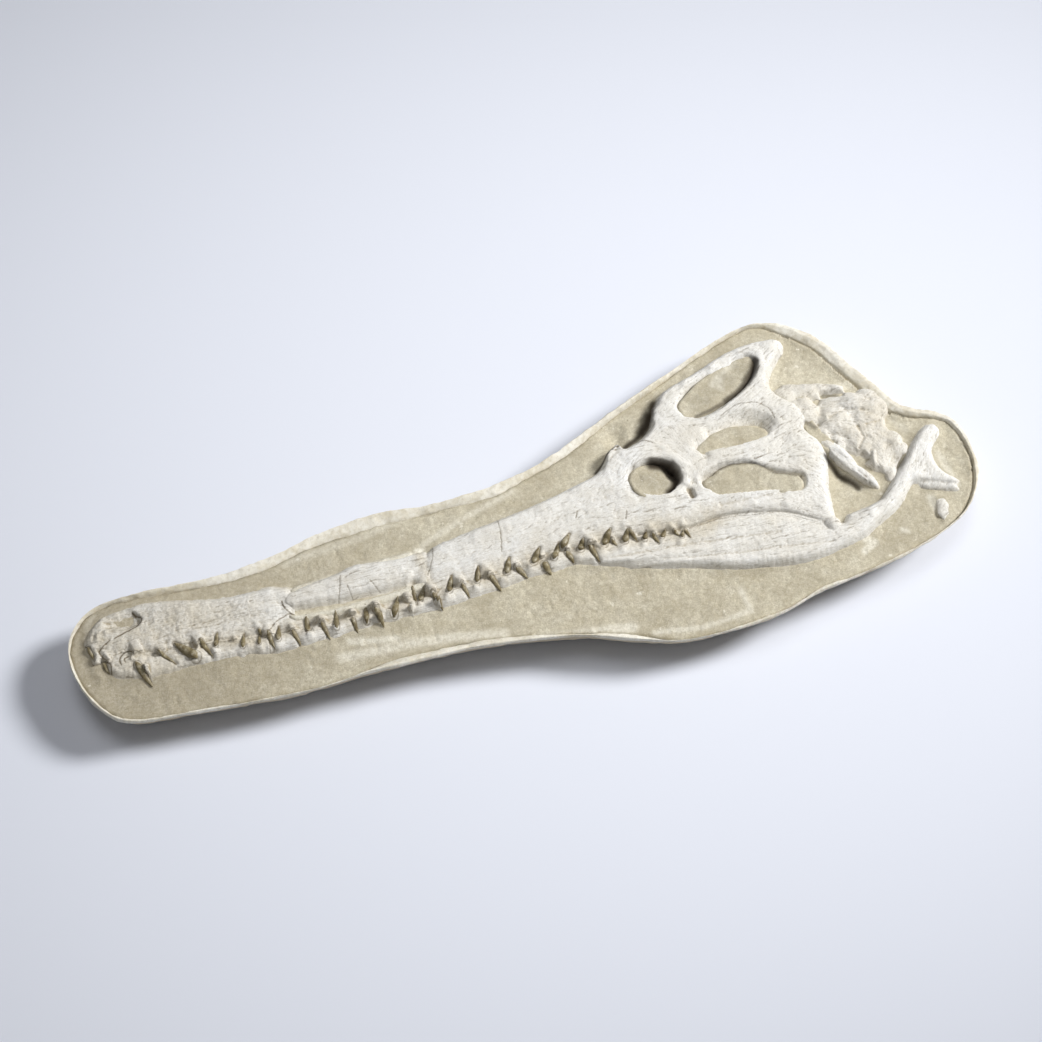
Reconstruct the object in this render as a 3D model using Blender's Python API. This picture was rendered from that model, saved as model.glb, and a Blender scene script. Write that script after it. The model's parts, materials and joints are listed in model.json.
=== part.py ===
"""Fossil skull and lower jaw of a dyrosaurid, a long-snouted relative of the crocodiles.

The bones lie in relief on a slab of their own rock, which a jacket of plaster holds. X runs along
the slab from the tip of the snout to the back of the skull, Y runs from the lower jaw's side to the
skull roof's side, and the flat underside of the jacket is at Z = 0. All sizes below are millimetres.
"""

import math
import random

import bmesh
import bpy
import numpy as np
from mathutils import Vector, noise
from mathutils.geometry import delaunay_2d_cdt

MM = 0.001
GAP = 0.3

# Levels above the floor
RIM_TOP = 66.0
MATRIX_TOP = 60.0
TRAY_FLOOR = 14.0
BED_DEPTH = 9.0

# Spacing of the points along outlines and over the surfaces
JACKET_STEP = 25.0
BONE_STEP = 12.0
FIELD_STEP = 16.0
MATRIX_FIELD_STEP = 40.0
SHOULDER_INSETS = (4.5,)
# Faces that differ by less than this many degrees count as one flat face
FLAT_ANGLE = 0.4

# Plan of the jacket's rim, from the snout end over the skull roof's side and back
JACKET_RIM = [
    (-590, -30), (-577, 2), (-546, 25), (-500, 29), (-418, 26), (-357, 29), (-304, 37), (-258, 50),
    (-178, 58), (-116, 53), (-52, 54), (17, 66), (76, 86), (138, 114), (228, 153), (305, 186),
    (361, 203), (392, 198), (425, 175), (452, 148), (475, 104), (494, 72), (509, 38), (521, 23),
    (545, 13), (570, 1), (583, -22), (587, -62), (579, -99), (556, -135), (510, -161), (444, -180),
    (365, -194), (330, -197), (300, -210), (258, -217), (200, -221), (143, -218), (99, -203),
    (64, -190), (30, -178), (-22, -168), (-90, -159), (-170, -156), (-245, -156), (-293, -161),
    (-386, -157), (-455, -151), (-512, -147), (-545, -138), (-573, -103), (-587, -65),
]
# Width of the plaster band that shows round the rock, as (x, width), on each side
FAR_BAND = [(-588, 4), (-500, 6), (-420, 8), (-360, 14), (-300, 12), (-240, 17), (-180, 17),
            (-116, 12), (-75, 9), (-20, 15), (20, 9), (60, 12), (110, 9), (150, 5), (290, 6),
            (370, 4), (410, 11), (460, 13), (495, 15), (540, 6), (587, 4)]
NEAR_BAND = [(-588, 4), (-250, 4), (-200, 10), (-100, 11), (-20, 8), (20, 5), (60, 8), (100, 9),
             (140, 4), (587, 4)]
JACKET_MIDLINE = [(-590, -60), (-300, -60), (100, -60), (350, 0), (590, -60)]

# Where the upper jaw meets the lower one, from the snout back to the jaw joint
JAW_LINE = [(-545, -55), (-532, -50), (-518, -50), (-490, -60), (-428, -64), (-367, -72),
            (-305, -76), (-241, -75), (-177, -73), (-112, -72), (-46, -69), (21, -61), (86, -63),
            (150, -69), (195, -74), (235, -70), (268, -73), (317, -84), (345, -98), (364, -110), (386, -114)]

# Skull outline from the snout's tip along the far side to the back, without the jaw line
SKULL_FAR_SIDE = [
    (-556, -50), (-564, -38), (-566, -22), (-560, -9), (-546, 4), (-528, 11), (-487, 14),
    (-463, 11), (-415, 0), (-382, -6), (-350, -7), (-330, -12), (-326, -26), (-324, -42),
    (-312, -53), (-286, -58), (-250, -62), (-205, -63), (-170, -63), (-147, -62), (-143, -50),
    (-138, -34), (-121, -8), (-93, -2), (-52, 5), (-7, 11), (40, 20), (85, 31), (111, 38),
    (124, 51), (136, 66), (147, 70), (152, 61), (172, 67), (188, 76), (200, 92), (209, 113),
    (226, 131), (272, 147), (321, 166), (360, 173), (385, 171), (402, 165), (400, 148), (386, 136),
    (373, 121), (365, 107), (367, 92), (379, 77), (395, 58), (397, 42), (386, 26), (399, 10),
    (403, -10), (398, -34), (391, -62), (388, -84), (386, -98), (386, -108),
]
# Openings of the skull: the near orbit and the three temporal openings
NEAR_ORBIT_CENTRE = (181, 8)
NEAR_ORBIT_RADII = (31, 21)
NEAR_ORBIT_TURN = -18.0
FAR_OPENING = [(241, 97), (262, 119), (286, 127), (307, 133), (333, 142), (352, 144), (348, 128),
               (337, 114), (319, 101), (297, 90), (272, 82), (250, 83)]
MIDDLE_OPENING = [(246, 28), (270, 29), (300, 28), (322, 27), (334, 33), (336, 44), (326, 51),
                  (308, 53), (288, 47), (266, 37)]
NEAR_OPENING = [(237, -14), (242, -27), (252, -35), (279, -39), (304, -43), (333, -50),
                (351, -55), (358, -50), (355, -41), (330, -30), (313, -20), (299, -9), (283, -5),
                (266, -4), (250, -8)]

# Height of the skull's crest over the rock along its length, and of the lower jaw's
SKULL_CREST = [(-566, 9), (-520, 12), (-400, 11), (-330, 11), (-320, 8), (-150, 8), (-135, 12),
               (-60, 15), (60, 18), (170, 21), (300, 21), (385, 18), (404, 14)]
JAW_CREST = [(-550, 9), (-300, 10), (-100, 10), (60, 11), (200, 14), (400, 15), (560, 10)]

# Lower jaw outline from the snout along its lower edge to the spur at the back
LOWER_JAW_EDGE = [
    (-547, -58), (-549, -66), (-541, -77), (-521, -86), (-485, -93), (-443, -89), (-410, -93),
    (-375, -93), (-337, -101), (-272, -97), (-182, -94), (-135, -96), (-56, -89), (-12, -84),
    (41, -82), (63, -85), (90, -95), (135, -110), (198, -127), (246, -142), (321, -155),
    (361, -153), (410, -142), (436, -128), (456, -119), (477, -104), (500, -83), (529, -93),
    (554, -101), (559, -95), (540, -74), (536, -47), (543, -36), (555, -24), (558, -13),
    (550, -4), (538, -5), (527, -13), (515, -24), (502, -39), (482, -60), (450, -91), (430, -98),
    (410, -101), (397, -104), (392, -112),
]

# Loose plate of the snout's roof
ROOF_PLATE = [(-319, -30), (-316, -41), (-305, -48), (-276, -52), (-242, -54), (-210, -54),
              (-172, -56), (-155, -54), (-148, -42), (-135, -20), (-144, -11), (-162, -13),
              (-195, -7), (-224, -5), (-242, -11), (-264, -13), (-286, -17), (-306, -23)]

# Rough mass of braincase and neck bones crushed behind the skull
OCCIPUT = [(405, 24), (413, 37), (426, 46), (444, 50), (453, 57), (460, 64), (469, 63), (479, 52),
           (486, 39), (488, 26), (492, 3), (502, -18), (502, -34), (490, -47), (480, -58),
           (470, -65), (463, -53), (452, -46), (443, -31), (437, -15), (431, 0), (420, 9),
           (410, 13)]

# Bones broken off behind the skull: name, crest height, shoulder width, outline
LOOSE_BONES = [
    ("occipital_ridge", 9, 7, [(372, 92), (381, 101), (392, 99), (406, 94), (423, 92), (438, 87),
                               (452, 81), (460, 74), (454, 68), (444, 64), (430, 66), (418, 69),
                               (402, 69), (385, 77)]),
    ("pterygoid_blade", 14, 6, [(406, 2), (417, -4), (425, -15), (431, -28), (437, -41),
                                (445, -54), (453, -65), (449, -70), (438, -69), (428, -60),
                                (419, -47), (410, -33), (404, -23), (403, -10)]),
    ("bone_scrap", 4, 5, [(518, -109), (531, -115), (530, -129), (522, -142), (512, -138),
                          (515, -123)]),
]

# Rises and hollows of the surfaces over the even crest: x, y, radius, height
SKULL_BUMPS = [
    (-508, -4, 15, -7.0), (-536, -24, 14, 2.0), (-486, -6, 8, 1.5), (122, 52, 11, 4.0),
    (172, 42, 16, 3.0), (216, 12, 12, 2.0), (181, -24, 14, 1.5), (219, -18, 5, -8.0),
    (310, 84, 26, 2.5), (402, 76, 14, 2.5), (362, 128, 14, 2.5), (388, 160, 12, 2.0),
    (352, 14, 16, -3.0), (338, 58, 16, -4.0), (-440, -28, 20, 1.5), (-360, -28, 18, 1.5),
]
JAW_BUMPS = [
    (-520, -68, 8, 1.5), (-478, -78, 9, -1.5), (430, -104, 12, 1.5), (462, -84, 12, 2.0),
    (524, -20, 10, 2.0), (300, -104, 26, 1.0), (520, -64, 12, -2.5),
]
OCCIPUT_BUMPS = [
    (430, 24, 13, 5.0), (444, 8, 9, 3.0), (476, 48, 11, 5.0), (470, 22, 8, -3.0),
    (484, 10, 8, 3.0), (448, -12, 9, 4.0), (441, -26, 6, -5.0), (484, -46, 7, -7.0),
    (496, -20, 8, 4.0), (470, -24, 8, 3.5), (462, -44, 6, 3.0), (460, 40, 7, -3.0),
]
RIDGE_BUMPS = [(386, 92, 10, 3.0), (412, 82, 9, 2.0), (436, 68, 8, -6.0), (448, 78, 8, 2.0)]

# Sutures and breaks that part the skull, and the breaks of the lower jaw
SKULL_CUTS = [
    [(-486, 30), (-478, 4), (-484, -20), (-470, -42), (-464, -80)],
    [(-312, -44), (-300, -56), (-296, -90)],
    [(-160, -46), (-90, -38), (-20, -28), (50, -14), (96, 2), (140, 16)],
    [(104, 62), (120, 38), (126, 26), (134, 10), (134, -16), (126, -40), (117, -58), (117, -90)],
    [(172, 10), (150, 12), (128, 14)],
    [(196, 2), (224, 4), (246, -14)],
    [(186, 90), (222, 96), (254, 95)],
    [(192, 10), (210, 36), (226, 66), (262, 100)],
    [(276, 96), (276, 68), (288, 40)],
    [(262, 30), (256, 12), (262, -8)],
    [(254, -22), (236, -46), (232, -94)],
    [(300, -30), (306, -60), (304, -104)],
    [(322, 112), (344, 98), (350, 80), (340, 62), (322, 42)],
    [(334, 124), (360, 112), (392, 116)],
    [(328, 44), (352, 34), (374, 30), (408, 22)],
    [(344, -42), (356, -10), (375, 36)],
]
LOWER_JAW_CUTS = [
    [(-314, -60), (-313, -84), (-318, -120)],
    [(77, -50), (80, -72), (74, -106)],
    [(192, -60), (212, -98), (228, -114), (234, -160)],
    [(222, -110), (300, -116), (392, -120), (418, -130)],
    [(404, -84), (410, -104), (414, -128), (424, -164)],
    [(504, -94), (520, -62), (534, -56), (560, -58)],
]

OCCIPUT_CUTS = [
    [(446, 70), (452, 44), (458, 16), (446, -2), (424, -8)],
    [(452, 8), (476, 2), (504, 6)],
]

# One point inside each piece that the cuts leave, with its name
SKULL_PIECES = {
    "premaxilla": (-520, -20), "maxilla_front": (-400, -35),
    "nasal_bone": (-60, -15), "maxilla_rear": (40, -40), "frontal_bone": (172, 48),
    "jugal_front": (190, -45), "right_temporal_arch": (300, 145), "parietal_bone": (320, 84),
    "postorbital_bone": (245, 40), "squamosal_bone": (380, 60), "left_temporal_arch": (300, 12),
    "jugal_rear": (265, -55), "quadrate_bone": (375, -60),
}
LOWER_JAW_PIECES = {
    "dentary_front": (-420, -80), "dentary_middle": (-120, -85), "dentary_rear": (120, -85),
    "surangular_bone": (320, -100), "angular_bone": (300, -135), "articular_bone": (470, -85),
    "retroarticular_spur": (530, -85),
}
OCCIPUT_PIECES = {
    "braincase_rear": (428, 26), "neck_bone_front": (476, 40), "neck_bone_rear": (474, -26),
}

# Tooth rows from the snout back: x of the crown's base, crown length, lean of its point in degrees
UPPER_TEETH = [
    (-556, 22, -88), (-543, 18, -94), (-503, 38, -78), (-474, 24, -60), (-427, 26, -69),
    (-385, 13, -79), (-344, 22, -82), (-313, 16, -75), (-276, 22, -81), (-237, 20, -89),
    (-206, 24, -85), (-166, 23, -87), (-135, 25, -76), (-97, 20, -76), (-59, 21, -71),
    (-23, 17, -68), (11, 15, -75), (44, 14, -82), (76, 27, -85), (104, 10, -80), (130, 11, -80),
    (156, 10, -74), (180, 8, -83),
]
LOWER_TEETH = [
    (-521, 12, 79), (-443, 26, 124), (-410, 20, 76), (-367, 18, 76), (-333, 12, 71),
    (-294, 20, 87), (-260, 20, 79), (-222, 18, 82), (-188, 21, 62), (-150, 19, 60), (-114, 18, 67),
    (-77, 19, 67), (-40, 21, 63), (-2, 18, 55), (34, 19, 45), (60, 14, 63), (92, 18, 57),
    (120, 15, 78), (144, 11, 80), (170, 10, 100),
]
TOOTH_SIDES = 6
TOOTH_SLIMNESS = 0.21
THICKEST_TOOTH = 5.2
# A crown's rings from its root to its point, as shares of its length and of its radius
TOOTH_PROFILE = [(-0.45, 1.25), (0.05, 1.2), (0.45, 0.85), (1.0, 0.14)]
TOOTH_CLEARANCE = 0.8
# How far a crown's base lies past the jaw line, as a share of its length
UPPER_OFFSET = 0.05
LOWER_OFFSET = -0.42

COLOURS = {
    "plaster": ((0.66, 0.62, 0.50), 0.9),
    "rock": ((0.45, 0.40, 0.29), 0.95),
    "bone": ((0.72, 0.70, 0.63), 0.7),
}


def clear_scene():
    for item in list(bpy.data.objects):
        bpy.data.objects.remove(item, do_unlink=True)


def make_material(name):
    colour, roughness = COLOURS[name]
    material = bpy.data.materials.new(name)
    material.use_nodes = True
    shader = material.node_tree.nodes["Principled BSDF"]
    shader.inputs["Base Color"].default_value = (*colour, 1.0)
    shader.inputs["Roughness"].default_value = roughness
    shader.inputs["Metallic"].default_value = 0.0
    return material


def spline(points, step, closed=True):
    """Points at an even step along a smooth curve through the given ones."""
    control = np.array(points, float)
    count = len(control)
    spans = count if closed else count - 1
    dense = []
    for i in range(spans):
        if closed:
            p0, p1, p2, p3 = (control[(i + k) % count] for k in (-1, 0, 1, 2))
        else:
            p0, p1, p2, p3 = (control[min(max(i + k, 0), count - 1)] for k in (-1, 0, 1, 2))
        for t in np.linspace(0.0, 1.0, 12, endpoint=False):
            dense.append(0.5 * (2 * p1 + (p2 - p0) * t + (2 * p0 - 5 * p1 + 4 * p2 - p3) * t ** 2
                                + (3 * p1 - p0 - 3 * p2 + p3) * t ** 3))
    dense.append(dense[0] if closed else control[-1])
    dense = np.array(dense)
    along = np.concatenate([[0.0], np.cumsum(np.linalg.norm(np.diff(dense, axis=0), axis=1))])
    pieces = max(3, int(round(along[-1] / step)))
    wanted = np.linspace(0.0, along[-1], pieces + 1)
    line = np.stack([np.interp(wanted, along, dense[:, k]) for k in (0, 1)], axis=1)
    return line[:-1] if closed else line


def ellipse(centre, radii, turn_degrees=0.0, step=BONE_STEP):
    count = max(8, int(round(math.tau * sum(radii) / 2 / step)))
    turn = math.radians(turn_degrees)
    ring = []
    for i in range(count):
        angle = math.tau * i / count
        x = radii[0] * math.cos(angle)
        y = radii[1] * math.sin(angle)
        ring.append((centre[0] + x * math.cos(turn) - y * math.sin(turn),
                     centre[1] + x * math.sin(turn) + y * math.cos(turn)))
    return np.array(ring)


def ring_area(ring):
    x, y = ring[:, 0], ring[:, 1]
    return 0.5 * float(np.sum(x * np.roll(y, -1) - y * np.roll(x, -1)))


def counter_clockwise(ring):
    return ring if ring_area(ring) > 0 else ring[::-1]


def inward_normals(ring, smoothing=0):
    """Unit vectors that point into a counter-clockwise ring, averaged over some neighbours."""
    tangent = np.roll(ring, -1, axis=0) - np.roll(ring, 1, axis=0)
    normal = np.stack([-tangent[:, 1], tangent[:, 0]], axis=1)
    normal /= np.linalg.norm(normal, axis=1)[:, None]
    for _ in range(smoothing):
        normal = normal + 0.5 * (np.roll(normal, 1, axis=0) + np.roll(normal, -1, axis=0))
        normal /= np.linalg.norm(normal, axis=1)[:, None]
    return normal


def is_inside(points, ring):
    x, y = points[:, 0:1], points[:, 1:2]
    ax, ay = ring[:, 0], ring[:, 1]
    bx, by = np.roll(ax, -1), np.roll(ay, -1)
    crosses = (ay > y) != (by > y)
    rise = np.where(by == ay, 1e-9, by - ay)
    left_of = x < (bx - ax) * (y - ay) / rise + ax
    return (np.sum(crosses & left_of, axis=1) % 2) == 1


def edge_distance(points, ring):
    """Distance from each point to the ring, and the nearest place on it."""
    a = ring[None, :, :]
    b = np.roll(ring, -1, axis=0)[None, :, :]
    p = points[:, None, :]
    span = b - a
    t = np.clip(np.sum((p - a) * span, axis=2) / np.sum(span * span, axis=2), 0.0, 1.0)
    nearest = a + span * t[:, :, None]
    distance = np.linalg.norm(p - nearest, axis=2)
    best = np.argmin(distance, axis=1)
    rows = np.arange(len(points))
    return distance[rows, best], nearest[rows, best]


def station_height(stations, x):
    return np.interp(x, [s[0] for s in stations], [s[1] for s in stations])


class Relief:
    """A bone in relief: a plan with openings, and the height of its surface over the rock."""

    def __init__(self, outline, crest, shoulder, edge=0.3, openings=(), steep=(),
                 bumps=(), bed=BED_DEPTH):
        self.outline = counter_clockwise(outline)
        self.openings = [(counter_clockwise(ring), width, far_width) for ring, width, far_width in openings]
        self.crest = crest
        self.shoulder = shoulder
        self.edge = edge
        self.steep = steep
        self.bumps = bumps
        self.bed = bed

    def covers(self, points):
        inside = is_inside(points, self.outline)
        for ring, _, _ in self.openings:
            inside &= ~is_inside(points, ring)
        return inside

    def height(self, points):
        points = np.atleast_2d(np.asarray(points, float))
        crest = station_height(self.crest, points[:, 0])
        distance, nearest = edge_distance(points, self.outline)
        edge = np.full(len(points), self.edge)
        for x, y, radius, extra in self.steep:
            near = np.exp(-((nearest[:, 0] - x) ** 2 + (nearest[:, 1] - y) ** 2) / radius ** 2)
            edge = edge + extra * near
        reach = np.clip(distance / self.shoulder, 0.0, 1.0)
        factor = edge + (1.0 - edge) * np.sqrt(1.0 - (1.0 - reach) ** 2)
        for ring, width, far_width in self.openings:
            distance, nearest = edge_distance(points, ring)
            away = points - nearest
            upward = np.clip(away[:, 1] / np.maximum(distance, 1e-6), 0.0, 1.0)
            local_width = width + (far_width - width) * upward
            reach = np.clip(distance / local_width, 0.0, 1.0)
            rim = 0.62 - 0.4 * upward * (far_width > width)
            factor = np.minimum(factor, rim + (1.0 - rim) * np.sqrt(1.0 - (1.0 - reach) ** 2))
        surface = crest * factor
        for x, y, radius, rise in self.bumps:
            away = ((points[:, 0] - x) ** 2 + (points[:, 1] - y) ** 2) / radius ** 2
            surface = surface + rise * np.exp(-away) * np.sqrt(factor)
        return np.maximum(surface, 1.6)


def surface_points(relief, step):
    """Points that carry a relief's rounded shoulders and its broad field."""
    rings = [relief.outline] + [ring for ring, _, _ in relief.openings]
    wanted = []
    for index, ring in enumerate(rings):
        normals = inward_normals(ring) * (1 if index == 0 else -1)
        for inset in SHOULDER_INSETS:
            wanted += [(place, inset * 0.85) for place in ring + normals * inset]
    wanted += [(np.array((x, y), float), 3.0) for x, y, _, _ in relief.bumps]
    low = relief.outline.min(axis=0)
    high = relief.outline.max(axis=0)
    row = 0
    y = low[1] + step / 2
    while y < high[1]:
        x = low[0] + (step / 2 if row % 2 else step)
        while x < high[0]:
            wanted.append((np.array((x, y)), 10.0))
            x += step
        y += step * 0.87
        row += 1
    places = np.array([w[0] for w in wanted])
    limits = np.array([w[1] for w in wanted])
    keep = relief.covers(places)
    for ring in rings:
        keep &= edge_distance(places, ring)[0] >= limits
    chosen = []
    for place in places[keep]:
        if all(np.hypot(*(place - other)) > 3.0 for other in chosen):
            chosen.append(place)
    return np.array(chosen) if chosen else np.zeros((0, 2))


def flat_triangles(rings, extra, covers):
    """Triangles between rings that keep every ring's edges."""
    points = np.concatenate(rings + ([extra] if len(extra) else []))
    edges = []
    start = 0
    for ring in rings:
        count = len(ring)
        edges += [(start + i, start + (i + 1) % count) for i in range(count)]
        start += count
    result = delaunay_2d_cdt([Vector(p) for p in points], edges, [], 0, 1e-5)
    found, faces, origins = result[0], result[2], result[3]
    if len(found) != len(points):
        raise ValueError("an outline crosses itself")
    index = [origin[0] for origin in origins]
    triangles = []
    for face in faces:
        corners = [index[i] for i in face]
        middle = points[corners].mean(axis=0)
        if not covers(middle[None, :])[0]:
            continue
        a, b, c = points[corners]
        if (b[0] - a[0]) * (c[1] - a[1]) - (b[1] - a[1]) * (c[0] - a[0]) < 0:
            corners.reverse()
        triangles.append(corners)
    return points, triangles


def prism_mesh(name, rings, covers, top_height, bottom, extra=()):
    """A closed solid over a plan: walls along its rings, a shaped top and a flat bottom."""
    extra = np.array(extra).reshape(-1, 2)
    points, top_faces = flat_triangles(rings, extra, covers)
    ring_points, bottom_faces = flat_triangles(rings, np.zeros((0, 2)), covers)
    heights = top_height(points)
    top_count = len(points)
    vertices = [(x * MM, y * MM, z * MM) for (x, y), z in zip(points, heights)]
    vertices += [(x * MM, y * MM, bottom * MM) for x, y in ring_points]
    faces = [tuple(face) for face in top_faces]
    faces += [tuple(top_count + i for i in reversed(face)) for face in bottom_faces]
    start = 0
    for ring in rings:
        count = len(ring)
        for i in range(count):
            a = start + i
            b = start + (i + 1) % count
            faces.append((top_count + a, top_count + b, b))
            faces.append((top_count + a, b, a))
        start += count
    mesh = bpy.data.meshes.new(name)
    mesh.from_pydata(vertices, [], faces)
    mesh.update()
    return mesh


def add_object(name, mesh, material=None):
    item = bpy.data.objects.new(name, mesh)
    bpy.context.scene.collection.objects.link(item)
    if material:
        mesh.materials.append(material)
    return item


def relief_object(name, relief, material=None, step=FIELD_STEP):
    rings = [relief.outline] + [ring[::-1] for ring, _, _ in relief.openings]
    mesh = prism_mesh(name, rings, relief.covers, lambda p: MATRIX_TOP + relief.height(p),
                      MATRIX_TOP - relief.bed, surface_points(relief, step))
    return add_object(name, mesh, material)


def pocket_object(name, relief):
    """The hollow in the rock that a bone lies in, larger than the bone all round by the gap."""
    grown = counter_clockwise(relief.outline)
    grown = grown - inward_normals(grown) * GAP
    openings = []
    for ring, _, _ in relief.openings:
        shrunk = ring + inward_normals(ring) * GAP
        openings.append(shrunk[::-1])

    def covers(points):
        inside = is_inside(points, grown)
        for ring in openings:
            inside &= ~is_inside(points, ring)
        return inside

    rings = [grown] + openings
    mesh = prism_mesh(name, rings, covers, lambda p: np.full(len(p), MATRIX_TOP + 30.0),
                      MATRIX_TOP - relief.bed - GAP)
    return add_object(name, mesh)


def apply_boolean(item, operation, tools, solver="EXACT"):
    """One Boolean with a group of closed objects, applied to the item's mesh."""
    group = bpy.data.collections.new(item.name + "_tools")
    for tool in tools:
        group.objects.link(tool)
    modifier = item.modifiers.new("shape", "BOOLEAN")
    modifier.operation = operation
    modifier.operand_type = "COLLECTION"
    modifier.collection = group
    modifier.solver = solver
    bpy.context.view_layer.update()
    graph = bpy.context.evaluated_depsgraph_get()
    shaped = bpy.data.meshes.new_from_object(item.evaluated_get(graph))
    item.modifiers.remove(modifier)
    item.data = shaped
    for tool in tools:
        bpy.data.objects.remove(tool, do_unlink=True)
    bpy.data.collections.remove(group)
    merge_flat_faces(shaped)


def merge_flat_faces(mesh):
    """Joins the slivers that a Boolean leaves in flat faces, then splits the faces into triangles."""
    shape = bmesh.new()
    shape.from_mesh(mesh)
    bmesh.ops.dissolve_limit(shape, angle_limit=math.radians(FLAT_ANGLE), verts=shape.verts,
                             edges=shape.edges)
    bmesh.ops.triangulate(shape, faces=shape.faces)
    shape.to_mesh(mesh)
    shape.free()


def loose_parts(mesh):
    """The mesh's separate closed surfaces, as lists of face indices."""
    owner = list(range(len(mesh.vertices)))

    def root(i):
        while owner[i] != i:
            owner[i] = owner[owner[i]]
            i = owner[i]
        return i

    for edge in mesh.edges:
        a, b = (root(i) for i in edge.vertices)
        owner[a] = b
    parts = {}
    for polygon in mesh.polygons:
        parts.setdefault(root(polygon.vertices[0]), []).append(polygon.index)
    return list(parts.values())


def mesh_from_faces(source, face_indices, name):
    used = {}
    vertices = []
    faces = []
    for index in face_indices:
        face = []
        for vertex in source.polygons[index].vertices:
            if vertex not in used:
                used[vertex] = len(vertices)
                vertices.append(source.vertices[vertex].co[:])
            face.append(used[vertex])
        faces.append(face)
    mesh = bpy.data.meshes.new(name)
    mesh.from_pydata(vertices, [], faces)
    mesh.update()
    return mesh


def enclosed_volume(mesh):
    mesh.calc_loop_triangles()
    total = 0.0
    for triangle in mesh.loop_triangles:
        a, b, c = (mesh.vertices[i].co for i in triangle.vertices)
        total += a.dot(b.cross(c)) / 6.0
    return total


def keep_largest(item):
    parts = [mesh_from_faces(item.data, faces, item.name) for faces in loose_parts(item.data)]
    parts.sort(key=enclosed_volume)
    material = item.data.materials[0]
    item.data = parts[-1]
    item.data.materials.append(material)


def tooth_object(name, rings):
    """A closed tapering crown through rings, each a centre, a direction and a radius."""
    vertices = []
    for centre, direction, radius in rings:
        side = direction.cross(Vector((0, 0, 1))).normalized()
        up = side.cross(direction).normalized()
        for i in range(TOOTH_SIDES):
            angle = math.tau * i / TOOTH_SIDES
            vertices.append(centre + (side * math.cos(angle) + up * math.sin(angle)) * radius)
    faces = [tuple(reversed(range(TOOTH_SIDES)))]
    for row in range(len(rings) - 1):
        for i in range(TOOTH_SIDES):
            a = row * TOOTH_SIDES + i
            b = row * TOOTH_SIDES + (i + 1) % TOOTH_SIDES
            faces.append((a, b, b + TOOTH_SIDES, a + TOOTH_SIDES))
    last = (len(rings) - 1) * TOOTH_SIDES
    faces.append(tuple(last + i for i in range(TOOTH_SIDES)))
    mesh = bpy.data.meshes.new(name)
    mesh.from_pydata([v * MM for v in vertices], [], faces)
    mesh.update()
    if enclosed_volume(mesh) < 0:
        mesh.flip_normals()
    return add_object(name, mesh)


def clear_level(place, reach, direction, other):
    """The lowest level at which a crown of this radius stays clear over the other jaw."""
    across = np.array((-direction[1], direction[0])) * reach
    spots = np.array([place, place + across, place - across, place + direction * reach])
    covered = other.covers(spots)
    lowest = MATRIX_TOP + reach + TOOTH_CLEARANCE
    if covered.any():
        lowest += other.height(spots)[covered].max()
    return lowest


def tooth_row(prefix, row, jaw_line, own, other, chance):
    """Crowns along the jaw line, rooted in their own jaw and lying clear over the other one."""
    teeth = []
    offset = UPPER_OFFSET if prefix == "upper" else LOWER_OFFSET
    for number, (x, length, lean) in enumerate(row):
        y = float(np.interp(x, jaw_line[:, 0], jaw_line[:, 1]))
        direction = np.array((math.cos(math.radians(lean)), math.sin(math.radians(lean))))
        base = np.array((x, y)) + direction * length * offset
        radius = min(max(2.2, length * TOOTH_SLIMNESS * chance.uniform(0.9, 1.1)), THICKEST_TOOTH)
        places = [base + direction * length * share for share, _ in TOOTH_PROFILE]
        reaches = [radius * scale for _, scale in TOOTH_PROFILE]
        levels = [MATRIX_TOP + reaches[0] + TOOTH_CLEARANCE]
        for place, reach in list(zip(places, reaches))[1:]:
            level = clear_level(place, reach, direction, other)
            if own.covers(place[None, :])[0]:
                level = max(level, MATRIX_TOP + own.height(place)[0] - 0.2 * reach)
            levels.append(level)
        for i in range(1, len(levels) - 1):
            for t in (0.25, 0.5, 0.75):
                place = places[i] * (1 - t) + places[i + 1] * t
                reach = reaches[i] * (1 - t) + reaches[i + 1] * t
                level = levels[i] * (1 - t) + levels[i + 1] * t
                lift = max(0.0, clear_level(place, reach, direction, other) - level)
                levels[i] += lift
                levels[i + 1] += lift
        centres = [Vector((place[0], place[1], level)) for place, level in zip(places, levels)]
        rings = []
        for i, centre in enumerate(centres):
            along = centres[min(i + 1, len(centres) - 1)] - centres[max(i - 1, 0)]
            rings.append((centre, along.normalized(), reaches[i]))
        teeth.append(tooth_object(f"{prefix}_tooth_{number}", rings))
    return teeth


def cut_wall(name, line):
    """A thin upright wall along a line, which parts a bone by the gap."""
    path = np.array(line, float)
    tangent = np.gradient(path, axis=0)
    normal = np.stack([-tangent[:, 1], tangent[:, 0]], axis=1)
    normal /= np.linalg.norm(normal, axis=1)[:, None]
    left = path + normal * GAP / 2
    right = path - normal * GAP / 2
    ring = counter_clockwise(np.concatenate([left, right[::-1]]))
    mesh = prism_mesh(name, [ring], lambda p: is_inside(p, ring),
                      lambda p: np.full(len(p), MATRIX_TOP + 45.0), MATRIX_TOP - BED_DEPTH - 3.0)
    return add_object(name, mesh)


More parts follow.
